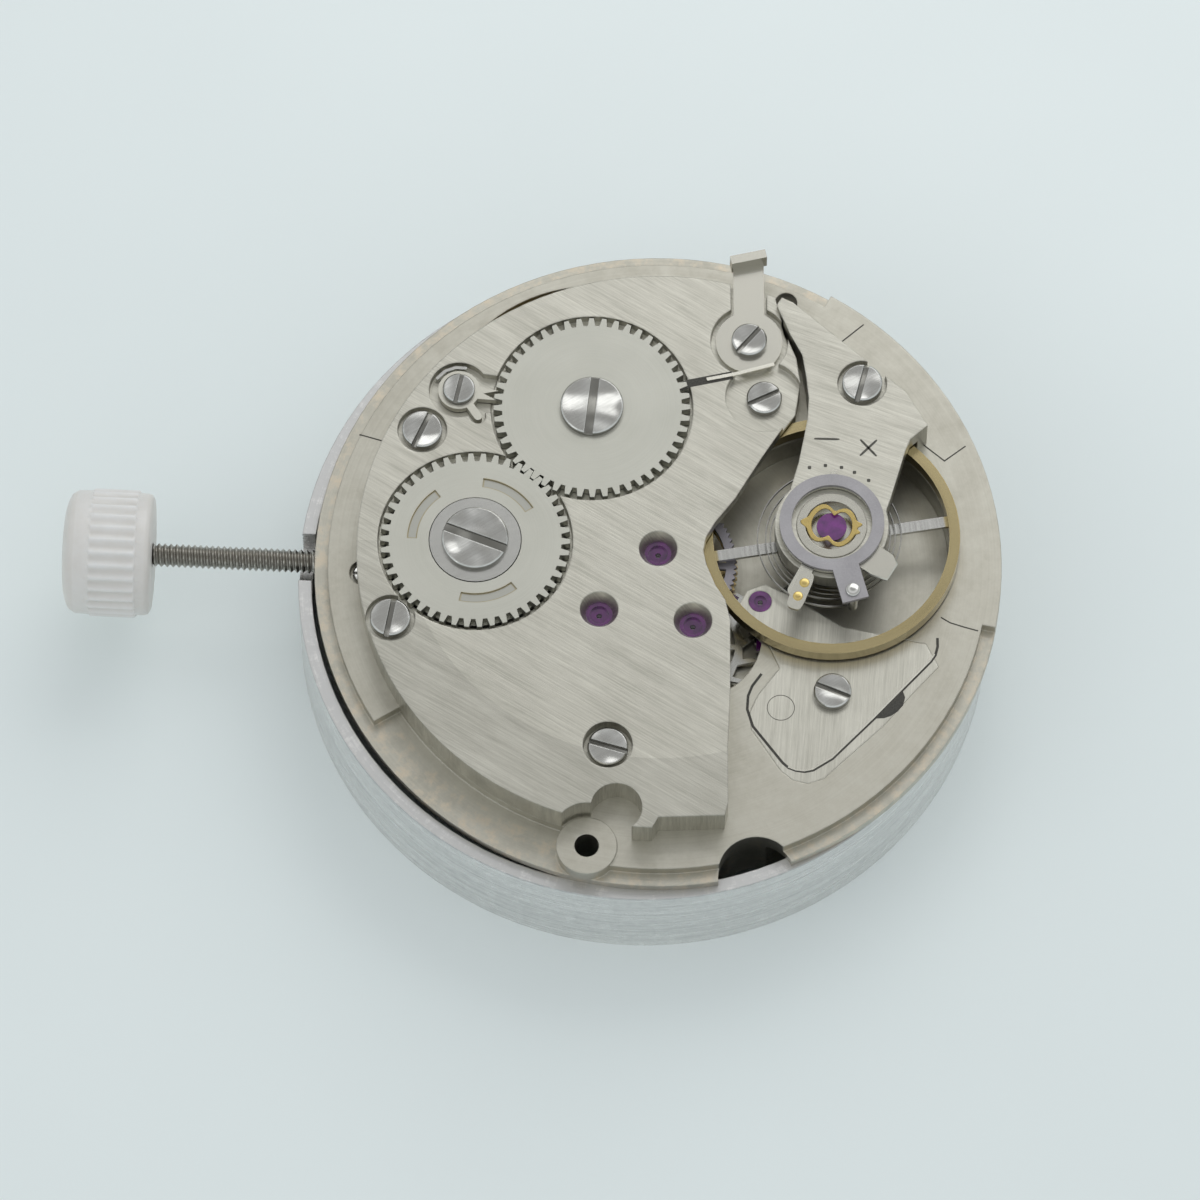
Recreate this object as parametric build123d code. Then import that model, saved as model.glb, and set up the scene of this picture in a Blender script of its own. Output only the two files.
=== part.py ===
"""Hand-wound mechanical watch movement, lying in its casing ring with the bridge side up.

Millimetres. +Z points up, out of the bridge side. The winding stem leaves along -X.
The origin is on the hand axis, at the middle of the minute-hand seat.
Heights are named from the foot of the casing ring upwards, and save() lowers each piece
so that the origin lies at the height of the hand seat.
"""
from build123d import *
import os
from math import atan2, cos, degrees, hypot, pi, radians, sin

os.makedirs("parts", exist_ok=True)


def between(a, b):
    """Distance between two places."""
    return hypot(a[0] - b[0], a[1] - b[1])


def bearing(a, b):
    """Direction from place a to place b, in degrees."""
    return degrees(atan2(b[1] - a[1], b[0] - a[0]))


def polar(at, radius, angle):
    """The place at a radius and an angle in degrees from another place."""
    return (at[0] + radius * cos(radians(angle)), at[1] + radius * sin(radians(angle)))


def scaled(size, shares):
    """Places given as shares of one size."""
    return [(size * x, size * y) for x, y in shares]


# Clearances
running = 0.03
side_play = 0.1
end_shake = 0.04
seam = 0.02
overrun = 0.5

# Wheel places on the plate
centre = (0.0, 0.0)
barrel_x, barrel_y = -2.73, 5.62
third_x, third_y = -2.07, -2.56
escape_x, escape_y = 1.42, -2.84
pallet_x, pallet_y = 3.87, -1.37
balance_x, balance_y = 6.4, 1.12
crown_wheel_x = -6.8
click_x, click_y = -7.73, 6.13
barrel_at = (barrel_x, barrel_y)
third_at = (third_x, third_y)
escape_at = (escape_x, escape_y)
pallet_at = (pallet_x, pallet_y)
balance_at = (balance_x, balance_y)
crown_wheel_at = (crown_wheel_x, 0.0)
click_at = (click_x, click_y)

# Tooth counts
barrel_teeth, centre_leaves = 84, 12
centre_teeth, third_leaves = 80, 10
third_teeth, fourth_leaves = 75, 10
fourth_teeth, escape_leaves = 80, 8
escape_teeth = 15
ratchet_teeth, crown_teeth = 48, 46
winding_teeth, contrate_teeth, clutch_teeth = 18, 36, 14
cannon_teeth, minute_teeth = 12, 36
minute_leaves, hour_teeth = 10, 40
setting_teeth = 22

# Modules, from the distances between the wheels
barrel_module = 2 * between(barrel_at, centre) / (barrel_teeth + centre_leaves)
centre_module = 2 * between(third_at, centre) / (centre_teeth + third_leaves)
third_module = 2 * between(third_at, centre) / (third_teeth + fourth_leaves)
fourth_module = 2 * between(escape_at, centre) / (fourth_teeth + escape_leaves)
winding_module = 2 * between(barrel_at, crown_wheel_at) / (ratchet_teeth + crown_teeth)

# Heights above the foot of the casing ring, built up from thicknesses
seat_height = 0.8
dial_seat = 2.3
dial_recess_depth = 0.42
floor_web = 0.2
barrel_gap = 0.1
barrel_height = 1.53
wheel_gap = 0.11
wheel_thickness = 0.16
step_height = 0.45
flange_thickness = 0.4
bridge_thickness = 1.35
dial_recess = dial_seat + dial_recess_depth
barrel_floor = dial_recess + floor_web
barrel_z = barrel_floor + barrel_gap
barrel_top = barrel_z + barrel_height
centre_wheel_z = barrel_top + wheel_gap
third_wheel_z = centre_wheel_z + wheel_thickness + wheel_gap
fourth_wheel_z = third_wheel_z + wheel_thickness + wheel_gap
plate_top = fourth_wheel_z + wheel_thickness
flange_top = plate_top - step_height
ring_top = flange_top - flange_thickness
train_floor = centre_wheel_z - side_play
bridge_foot = plate_top
bridge_roof = plate_top + wheel_gap + end_shake
bridge_top = bridge_foot + bridge_thickness
above = bridge_top + 2 * overrun
below = dial_seat - overrun

# Casing ring
ring_radius = 12.9
ring_wall = 0.5
ring_offset_x, ring_offset_y = -0.5, -0.3
ring_notch_width = 1.9
ring_notch_depth = 1.35
ring_at = (ring_offset_x, ring_offset_y)

# Plate
flange_radius = 12.8
body_radius = 11.75
upper_radius = 12.3
dial_rim_width = 1.3
half_opening_radius = 1.42
half_opening_shares = ((0.328, -0.957),)
post_radius = 1.12
post_hole_radius = 0.45
rear_hole_radius = 0.42
hole_relief = 0.2
post_rise = 0.16
post_shares = ((-0.164, -0.902),)
rear_hole_shares = ((0.338, 0.854),)
rim_angles = (-9.0, 62.0)
ledge_angles = (214.0, 262.0)
half_opening_at = scaled(flange_radius, half_opening_shares)[0]
post_at = scaled(flange_radius, post_shares)[0]
rear_hole_at = scaled(flange_radius, rear_hole_shares)[0]

# Jewels and arbors
jewel_radius = 0.52
jewel_height = 0.3
bridge_jewel_radius = 0.64
bridge_jewel_height = 0.68
pallet_jewel_radius = 0.43
jewel_hole = 0.1
jewel_lip_radius = 0.5
jewel_sink_radius = 0.72
jewel_sink_depth = 0.42
cup_share = 0.55
pivot_length = 0.26
pivot_radius = jewel_hole - running / 2
arbor_radius = 0.2
thin_arbor_radius = 0.14

# Screws
screw_radius = 0.75
screw_height = 0.42
screw_shank = 0.35
screw_chamfer = 0.06
slot_width_share = 0.27
slot_depth_share = 0.5
screw_length = 1.6
screw_sink_radius = 0.92
screw_sink_depth = 0.3
front_sink_depth = 0.55
pallet_screw_radius = 0.7
clamp_screw_radius = 0.66
low_head_height = 0.3
bridge_screw_shares = ((-0.704, 0.346), (-0.764, -0.256), (-0.1164, -0.6234))
cock_screw_shares = ((0.571, 0.547),)
pallet_screw_shares = ((0.523, -0.387),)
clamp_screw_shares = ((0.236, 0.677), (0.2875, 0.5))
bridge_screw_angles = (68, 82, -14)
clamp_screw_angles = (52, 28)
cock_screw_angle, pallet_screw_angle = 78, -20
bridge_screw_at = scaled(flange_radius, bridge_screw_shares)
cock_screw_at = scaled(flange_radius, cock_screw_shares)[0]
pallet_screw_at = scaled(flange_radius, pallet_screw_shares)[0]
clamp_screw_at = scaled(flange_radius, clamp_screw_shares)
bridge_sinks = (screw_sink_depth, screw_sink_depth, front_sink_depth)

# Bridges
bridge_radius = 11.2
bridge_notch_radius = 0.95
cock_rise = 0.25
cock_nose_radius = 2.12
pallet_bridge_thickness = 0.6
cock_top = bridge_top + cock_rise
pallet_bridge_z = plate_top - pallet_bridge_thickness
bridge_notch_shares = ((-0.094, -0.933),)
bridge_edge_shares = ((0.205, 1.018), (0.335, 0.985), (0.385, 0.815), (0.43, 0.715),
                      (0.446, 0.628), (0.434, 0.52), (0.395, 0.46), (0.332, 0.352),
                      (0.246, 0.192), (0.186, 0.107), (0.157, 0.05), (0.15, 0.0),
                      (0.162, -0.05), (0.195, -0.123), (0.231, -0.176), (0.25, -0.248),
                      (0.261, -0.5), (0.261, -0.7), (0.271, -0.9), (0.262, -0.945),
                      (0.045, -0.962), (0.0, -1.05), (0.0, -2.0), (2.0, -2.0), (2.0, 2.0),
                      (0.0, 2.0))
cock_edge_shares = ((0.356, 0.9), (0.372, 0.928), (0.41, 0.912), (0.8, 0.6), (0.876, 0.482),
                    (0.82, 0.428), (0.805, 0.384), (0.785, 0.3), (0.762, 0.206), (0.746, 0.151),
                    (0.572, 0.1), (0.43, 0.23), (0.452, 0.322), (0.466, 0.415), (0.476, 0.488),
                    (0.477, 0.563), (0.466, 0.637), (0.449, 0.72), (0.408, 0.79))
pallet_edge_shares = ((0.30, -0.085), (0.265, -0.16), (0.31, -0.205), (0.375, -0.27),
                      (0.42, -0.36), (0.352, -0.46), (0.327, -0.525), (0.335, -0.585),
                      (0.375, -0.64), (0.44, -0.73), (0.48, -0.76), (0.53, -0.77),
                      (0.58, -0.75), (0.675, -0.65), (0.772, -0.55), (0.855, -0.44),
                      (0.945, -0.33), (0.9, -0.25), (0.62, -0.2), (0.43, -0.09), (0.36, -0.06))

# Winding wheels on the bridge
ratchet_proud = 0.06
ratchet_thickness = 0.42
winding_tip_share, winding_root_share = 0.36, 0.36
winding_addendum_share, winding_dedendum_share = 0.9, 1.25
winding_square = 1.0
ratchet_screw_radius = 1.18
crown_screw_radius = 1.24
wide_head_height = 0.24
crown_core_radius = 1.7
contrate_outer = 3.3
contrate_inner = 2.55
contrate_depth = 0.74
contrate_mesh = 0.1
kidney_radius = 2.35
kidney_width = 0.34
kidney_depth = 0.06
kidney_angles = (155, 60, -75)
kidney_sweep = 26
ratchet_phase = 3.0
ratchet_top = bridge_top + ratchet_proud
ratchet_z = ratchet_top - ratchet_thickness
pocket_z = ratchet_z - end_shake
ratchet_radius = winding_module * ratchet_teeth / 2
crown_wheel_radius = winding_module * crown_teeth / 2
winding_addendum = winding_module * winding_addendum_share
winding_dedendum = winding_module * winding_dedendum_share
contrate_foot = ratchet_z - contrate_depth

# Click
click_thickness = 0.3
click_radius = 0.78
click_screw_radius = 0.6
click_screw_height = 0.2
click_collar_radius = 0.42
click_shank = 0.25
click_pocket_radius = 1.12
click_bite = 0.14
click_beak_width = 0.3
click_tail_length = 1.3
click_beak_angles = (7.0, -8.0)
click_tail_angle = -48.0
click_spring_wire = 0.12
click_spring_reach = 0.96
click_spring_angles = (150, 125, 100, 78)
click_z = ratchet_z + end_shake

# Barrel
barrel_drum_radius = 5.12
barrel_wall = 0.3
barrel_base = 0.22
barrel_band = 0.42
barrel_cover_thickness = 0.2
barrel_hub_radius = 0.95
barrel_collar_radius = 0.9
barrel_pivot_radius = 0.62
barrel_foot_radius = 0.5
mainspring_thickness = 0.09
mainspring_turns = 7
mainspring_start = barrel_hub_radius + (mainspring_thickness + seam) / 2
mainspring_end = barrel_drum_radius - barrel_wall - (mainspring_thickness + seam) / 2
mainspring_pitch = (mainspring_end - mainspring_start) / mainspring_turns

# Train
train_rim = 0.34
train_spoke = 0.26
centre_hub = 0.64
centre_boss, third_boss, fourth_boss = 0.98, 0.42, 0.3
centre_pipe_radius = 0.3
centre_pipe_bore = 0.2
pinion_over = 0.06
train_spokes = 5
addendum_share, dedendum_share = 0.75, 1.0

# Escapement
pocket_depth = 0.58
escape_wheel_rise = 0.24
escape_tooth_depth = 0.62
escape_rim = 0.26
escape_hub = 0.45
escape_spoke = 0.2
escape_spokes = 4
pallet_hub_radius = 0.5
pallet_arm_width = 0.42
pallet_arbor_radius = 0.16
fork_lever_width = 0.26
fork_width = 0.72
fork_depth = 0.4
stone_width, stone_length = 0.2, 0.62
well_radius = 4.4
pocket_floor = train_floor - pocket_depth
escape_wheel_z = pocket_floor + escape_wheel_rise
fork_top = escape_wheel_z + wheel_thickness
escape_tip = between(escape_at, pallet_at) * cos(radians(30))
escape_line = bearing(escape_at, pallet_at)
fork_line = bearing(pallet_at, balance_at)

# Balance
balance_radius = 4.8
balance_rim_width = 0.4
balance_rim_height = 0.6
balance_gap = 0.14
balance_arm_rise = 0.12
balance_arm_thickness = 0.16
balance_arm_width = 0.42
balance_arm_angle = 12
balance_hub_radius = 0.75
staff_radius = 0.3
roller_radius = 1.15
roller_thickness = 0.14
roller_gap = 0.22
impulse_radius = 0.14
impulse_distance = 0.8
collet_radius = 0.58
hairspring_thickness = 0.04
hairspring_height = 0.13
hairspring_pitch = 0.445
hairspring_outer_step = 0.239
hairspring_turns = 5
hairspring_start = 0.6
hairspring_rise = 0.4
balance_z = plate_top + balance_gap
balance_top = balance_z + balance_rim_height
balance_roof = balance_top + side_play
balance_arm_z = balance_z + balance_arm_rise
roller_z = fork_top + roller_gap
hairspring_z = balance_z + hairspring_rise
hairspring_reach = (hairspring_start + hairspring_pitch * (hairspring_turns - 1)
                    + 2 * hairspring_outer_step)
impulse_at = polar(balance_at, impulse_distance, bearing(balance_at, pallet_at))

# Shock settings
shock_block_radius = 1.3
shock_block_height = 0.7
lower_block_height = 0.98
shock_well_share = 0.55
shock_well_radius = 0.98
shock_jewel_radius = 0.56
shock_jewel_height = 0.28
shock_spring_outer = 0.9
shock_spring_inner = 0.66
shock_spring_thickness = 0.07
shock_tab_width = 0.14
upper_block_z0 = balance_roof + end_shake
upper_block_z1 = cock_top + end_shake
lower_block_z0 = dial_seat + seam
lower_block_z1 = lower_block_z0 + lower_block_height

# Regulator
regulator_outer = 1.95
regulator_inner = 1.5
regulator_thickness = 0.13
regulator_arm_width = 0.5
pointer_length = 0.5
pointer_width = 0.22
stud_ring_thickness = 0.14
stud_arm_width = 1.0
stud_arm_length = 1.5
stud_radius = 0.2
stud_proud = 0.05
curb_pin_radius = 0.07
curb_gap = 0.17
stud_angle = -72.0
curb_angle = -115.0
regulator_z = cock_top + end_shake
stud_ring_z = regulator_z + regulator_thickness + end_shake
stud_at = polar(balance_at, hairspring_reach, stud_angle)
curb_reach = hairspring_reach - hairspring_pitch / 6
curb_places = [polar(balance_at, curb_reach + side * curb_gap, curb_angle) for side in (-1, 1)]

# Stem and keyless works
stem_thread_radius = 0.45
stem_bearing_radius = 0.6
stem_outer_x = -18.9
stem_bearing_x = -12.75
groove_x = -10.75
groove_width = 0.34
groove_radius = 0.3
square_side = 0.62
winding_pinion_x0 = -10.05
winding_pinion_length = 1.05
winding_pinion_radius = 1.6
winding_pinion_bore = 0.48
pinion_tooth_depth = 0.2
clutch_length = 1.6
clutch_radius = 1.0
clutch_tooth_depth = 0.14
clutch_groove_radius = 0.62
clutch_groove_width = 0.36
clutch_groove_from_end = 0.74
clutch_shift = 0.45
pilot_radius = 0.24
pilot_length = 0.8
stem_pull = 0.6
winding_pinion_x1 = winding_pinion_x0 + winding_pinion_length
clutch_x0 = winding_pinion_x1 + seam
clutch_x1 = clutch_x0 + clutch_length
square_x1 = clutch_x1 + clutch_shift + side_play
clutch_groove_x = clutch_x1 - clutch_groove_from_end
stem_z = contrate_foot + contrate_mesh - winding_pinion_radius

# Crown
crown_radius = 2.4
crown_length = 3.3
crown_dome = 0.5
crown_cap_length = 1.1
crown_collar_length = 0.55
crown_flutes = 30
crown_flute_depth = 0.13
crown_cap_share, crown_collar_share = 0.97, 0.955
crown_bore_depth = 2.2
crown_profile_shares = ((0.0, 0.62), (0.3, 0.87), (1.0, 0.97))

# Dial side
lever_rise = 0.08
lever_thickness = 0.26
lever_width = 0.6
lever_arm_width = 0.44
lever_tail_length = 2.4
lever_pin_radius = 0.13
lever_rim = 0.14
setting_screw_radius = 0.38
setting_shank = 0.18
setting_sink_radius = 0.5
setting_head_height = 0.22
setting_pivot_x, setting_pivot_y = -10.95, -0.9
lever_tail_angle = -81.0
yoke_pivot_x, yoke_pivot_y = -6.6, -3.6
yoke_width = 0.5
yoke_pin_radius = 0.13
yoke_pin_y = -0.86
post_pin_radius = 0.25
jumper_shares = ((-0.484, -0.5), (-0.625, -0.42), (-0.64, -0.406), (-0.703, -0.26))
jumper_width = 1.3
jumper_spring_width = 0.26
minute_wheel_rise = 0.22
motion_thickness = 0.14
motion_step = 0.03
cannon_distance = 2.64
minute_bearing = 206.6
setting_bearing = 175.0
setting_wheel_height = 0.8
cannon_radius = 0.48
cannon_pipe_radius = 0.64
cannon_seat_length = 0.7
hour_pipe_radius = 0.8
hour_pipe_length = 1.06
seconds_pivot_radius = 0.11
seconds_pivot_length = 0.27
seconds_free_length = 0.3
seconds_taper_length = 1.2
cannon_module = 2 * cannon_distance / (cannon_teeth + minute_teeth)
hour_module = 2 * cannon_distance / (minute_leaves + hour_teeth)
minute_at = polar(centre, cannon_distance, minute_bearing)
setting_wheel_at = polar(minute_at, cannon_module * (minute_teeth + setting_teeth) / 2,
                         setting_bearing)
minute_wheel_z = dial_seat + minute_wheel_rise
hour_wheel_z = minute_wheel_z - motion_step - motion_thickness
cannon_tip_z = seat_height - cannon_seat_length / 2
lever_z = dial_seat + lever_rise
jumper_at = scaled(flange_radius, jumper_shares)[0]
setting_pivot = (setting_pivot_x, setting_pivot_y)
yoke_pivot = (yoke_pivot_x, yoke_pivot_y)

# Case clamp
clamp_thickness = 0.22
clamp_sink_depth = 0.34
clamp_sink_radius = 1.45
clamp_disc_radius = 1.25
clamp_width = 1.15
clamp_length = 3.3
clamp_lip_width = 0.34
clamp_lip_height = 0.75
clamp_lip_length = 1.35
clamp_angle = 93
clamp_lip_angle = 78
clamp_seat = bridge_top - clamp_sink_depth


def placed(face, z0, z1, at=centre):
    """A flat face moved to a place and raised between two heights."""
    return extrude(Plane.XY.offset(z0) * Pos(at[0], at[1]) * face, z1 - z0)


def disc(radius, z0, z1, at=centre):
    """A cylinder between two heights."""
    return placed(Circle(radius), z0, z1, at)


def tube(outer, inner, z0, z1, at=centre):
    """A plain ring between two heights."""
    return placed(Circle(outer) - Circle(inner), z0, z1, at)


def funnel(lower, upper, z0, z1, at):
    """A cone frustum between two heights."""
    return Pos(at[0], at[1], (z0 + z1) / 2) * Cone(lower, upper, z1 - z0)


def slab(points, z0, z1):
    """A straight-sided plate over a list of corners."""
    return placed(make_face(Polyline(*points, close=True)), z0, z1)


def bar(width, length, z0, z1, at, angle=0.0):
    """A rectangular bar, length along its own angle, centred on a place."""
    return placed(Rot(0, 0, angle) * Rectangle(length, width), z0, z1, at)


def link(width, z0, z1, a, b):
    """A round-ended bar from one place to another."""
    middle = ((a[0] + b[0]) / 2, (a[1] + b[1]) / 2)
    body = bar(width, between(a, b), z0, z1, middle, bearing(a, b))
    return body + disc(width / 2, z0, z1, a) + disc(width / 2, z0, z1, b)


def wedge(radius, z0, z1, start, end, at=centre):
    """A sector of a disc between two angles."""
    arc = CenterArc(centre, radius, start, end - start)
    return placed(make_face([Line(centre, arc @ 0), arc, Line(arc @ 1, centre)]), z0, z1, at)


def rod_x(radius, x0, x1):
    """A cylinder along the stem's axis."""
    return extrude(Plane.YZ.offset(x0) * Pos(0, stem_z) * Circle(radius), x1 - x0)


def toothed(teeth, root_radius, tip_radius, at, phase=0.0, tip_share=0.12, root_share=0.0):
    """Outline of a wheel; each share is the flat's part of the tooth's pitch, phase is tooth 0."""
    step = 360 / teeth
    corners = [(-(1 - root_share) * step / 2, root_radius), (-tip_share * step / 2, tip_radius),
               (tip_share * step / 2, tip_radius)]
    if root_share:
        corners.append(((1 - root_share) * step / 2, root_radius))
    return [polar(at, radius, phase + index * step + turn)
            for index in range(teeth) for turn, radius in corners]


def tip_radius_of(teeth, module):
    """Tip radius of a train wheel."""
    return module * (teeth / 2 + addendum_share)


def spur(teeth, module, z0, z1, at, phase=0.0):
    """A train wheel or pinion of a given module, with pointed teeth."""
    root_radius = module * (teeth / 2 - dedendum_share)
    return slab(toothed(teeth, root_radius, tip_radius_of(teeth, module), at, phase), z0, z1)


def mesh_phase(driver_teeth, driver_phase, driven_teeth, driver_at, driven_at):
    """Phase that puts a gap of the driven wheel on the driver's tooth at the line of centres."""
    line = bearing(driver_at, driven_at)
    driver_step = 360 / driver_teeth
    ahead = ((line - driver_phase) % driver_step) / driver_step
    return line + 180 + 360 / driven_teeth * (0.5 + ahead)


def crossed(wheel, rim_radius, hub_radius, spokes, spoke_width, z0, z1, at):
    """Cuts the windows between a wheel's spokes."""
    window = tube(rim_radius, hub_radius, z0 - overrun, z1 + overrun, at)
    for index in range(spokes):
        window -= bar(spoke_width, 2 * rim_radius, z0 - 2 * overrun, z1 + 2 * overrun,
                      polar(at, rim_radius, index * 360 / spokes), index * 360 / spokes)
    return wheel - window


def slotted_screw(head_radius, head_height, shank_radius, head_z, shank_z, at, slot_angle):
    """A fillister screw: head_z is the seat of the head and shank_z the end of the shank."""
    head = disc(head_radius, head_z, head_z + head_height, at)
    head = chamfer(head.edges().group_by(Axis.Z)[-1], screw_chamfer)
    head -= bar(head_radius * slot_width_share, 4 * head_radius,
                head_z + head_height * (1 - slot_depth_share), head_z + 2 * head_height, at,
                slot_angle)
    return head + disc(shank_radius, shank_z, head_z, at)


def arbor(radius, z0, z1, at):
    """A steel arbor with a thin pivot at each end."""
    return disc(radius, z0, z1, at) + disc(pivot_radius, z0 - pivot_length, z1 + pivot_length, at)


def holed_jewel(radius, z0, z1, at, cup_up=True):
    """A ruby bearing with its pivot hole and an oil cup on the outer side."""
    stone = tube(radius, jewel_hole, z0, z1, at)
    cup = (z1 - z0) / 5
    cup_z = z1 - cup if cup_up else z0
    return stone - disc(radius * cup_share, cup_z, cup_z + cup, at)


def spiral_ribbon(at, start, pitch, turns, outer_step, thickness, z0, z1, angle):
    """A flat spiral strip of half-turn arcs, each centred so that it meets the one before."""
    def side(offset):
        arcs, middle, radius = [], 0.0, start
        for half in range(2 * turns):
            arcs.append(CenterArc((middle, 0.0), radius + offset, 180 * (half % 2), 180))
            growth = pitch / 2 if half < 2 * turns - 3 else outer_step
            middle += growth if half % 2 == 0 else -growth
            radius += growth
        return arcs
    outer, inner = side(thickness / 2), side(-thickness / 2)
    edges = outer + inner + [Line(outer[0] @ 0, inner[0] @ 0), Line(outer[-1] @ 1, inner[-1] @ 1)]
    places = [arc @ share for arc in outer for share in (0, 0.25, 0.5, 0.75)]
    turn = len(places) // turns
    gap = min((later - first).length - thickness for index, first in enumerate(places)
              for later in places[index + turn // 2:index + 3 * turn])
    print("spiral ribbon, least gap to itself", round(gap, 3))
    return placed(Rot(0, 0, angle) * make_face(edges), z0, z1, at)


barrel_tip = tip_radius_of(barrel_teeth, barrel_module)
centre_tip = tip_radius_of(centre_teeth, centre_module)
third_tip = tip_radius_of(third_teeth, third_module)
fourth_tip = tip_radius_of(fourth_teeth, fourth_module)
centre_pinion_tip = tip_radius_of(centre_leaves, barrel_module)
jewel_seats = ((third_at, train_floor), (escape_at, pocket_floor), (pallet_at, pocket_floor))


def casing_ring():
    """The plain ring that holds the movement by its flange, notched for the stem."""
    ring = tube(ring_radius, ring_radius - ring_wall, 0, ring_top, ring_at)
    return ring - bar(ring_notch_width, 6 * ring_wall, ring_top - ring_notch_depth, above,
                      (ring_offset_x - ring_radius, 0.0))


def plate_blank():
    """The turned blank: body, flange, upper step, raised rim sector and lowered ledge."""
    plate = disc(body_radius, dial_seat, ring_top) + disc(flange_radius, ring_top, flange_top)
    plate += disc(upper_radius, flange_top, plate_top)
    plate += wedge(flange_radius, flange_top, plate_top, *rim_angles)
    ledge = wedge(2 * flange_radius, flange_top, above, *ledge_angles)
    plate -= ledge - disc(bridge_radius, below, above + overrun)
    plate -= disc(body_radius - dial_rim_width, below, dial_recess)
    plate += disc(post_radius, flange_top, plate_top + post_rise, post_at)
    for at in (minute_at, setting_wheel_at, yoke_pivot, jumper_at):
        plate += disc(post_pin_radius, hour_wheel_z, dial_recess, at)
    return plate


def train_pockets():
    """The hollows for the barrel, the wheels, the balance and their arbors."""
    hollows = disc(barrel_tip + side_play, barrel_floor, above, barrel_at)
    hollows += disc(barrel_foot_radius + running, below, barrel_floor, barrel_at)
    hollows += disc(centre_tip + side_play, train_floor, above)
    hollows += disc(centre_pinion_tip + side_play, barrel_floor, above)
    hollows += disc(centre_pipe_radius + running, below, above)
    hollows += disc(third_tip + side_play, train_floor, above, third_at)
    hollows += disc(escape_tip + side_play, pocket_floor, above, escape_at)
    hollows += disc(well_radius, pocket_floor, above, balance_at)
    hollows += slab(scaled(bridge_radius, pallet_edge_shares), pallet_bridge_z, above)
    for at, z in jewel_seats:
        hollows += disc(jewel_radius, z - jewel_height, z + overrun, at)
    hollows += disc(shock_block_radius, below, lower_block_z1, balance_at)
    return hollows + disc(staff_radius + side_play, below, above, balance_at)


def keyless_slots():
    """The stem's bore, the pinions' slots, the setting lever's pocket and its pin's slot."""
    pinion_middle = (winding_pinion_x0 + winding_pinion_x1) / 2
    slots = bar(2 * (winding_pinion_radius + side_play), winding_pinion_length + 2 * side_play,
                below, above, (pinion_middle, 0.0))
    slots += bar(2 * (clutch_radius + side_play), square_x1 - winding_pinion_x1 + side_play,
                 below, above, ((winding_pinion_x1 + square_x1) / 2, 0.0))
    slots += bar(2 * (lever_width - lever_pin_radius), clutch_groove_width + clutch_shift
                 + 2 * side_play, below, stem_z, (clutch_groove_x + clutch_shift / 2
                                                  + clutch_groove_width / 2, yoke_pin_y))
    slots += rod_x(stem_bearing_radius + running, -2 * flange_radius, winding_pinion_x0)
    slots += rod_x(pilot_radius + running, square_x1, square_x1 + pilot_length + side_play)
    pocket = disc(lever_tail_length + lever_width, below, dial_recess, setting_pivot)
    slots += pocket & disc(body_radius - lever_rim, below, dial_recess)
    slots += link(2 * (lever_pin_radius + side_play), below, stem_z, (groove_x, 0.0),
                  (groove_x - stem_pull, 0.0))
    slots += disc(setting_shank + running, below, above, setting_pivot)
    slots += disc(setting_sink_radius, plate_top - screw_sink_depth, above, setting_pivot)
    setting_tip = tip_radius_of(setting_teeth, cannon_module)
    return slots + disc(setting_tip + side_play, below,
                        minute_wheel_z + setting_wheel_height + side_play, setting_wheel_at)


def main_plate():
    """The main plate with its pockets, slots and screw holes."""
    plate = plate_blank() - train_pockets() - keyless_slots()
    for at in (setting_wheel_at, jumper_at):
        plate += disc(post_pin_radius, hour_wheel_z, minute_wheel_z + setting_wheel_height
                      + 2 * side_play, at)
    plate -= disc(half_opening_radius, below, above, half_opening_at)
    for at, radius in ((post_at, post_hole_radius), (rear_hole_at, rear_hole_radius)):
        plate -= disc(radius, below, above, at)
        plate -= disc(radius + hole_relief, below, ring_top, at)
    for at in bridge_screw_at + [cock_screw_at, pallet_screw_at, clamp_screw_at[1]]:
        plate -= disc(screw_shank + running, plate_top - screw_length, above, at)
    return plate


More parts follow.
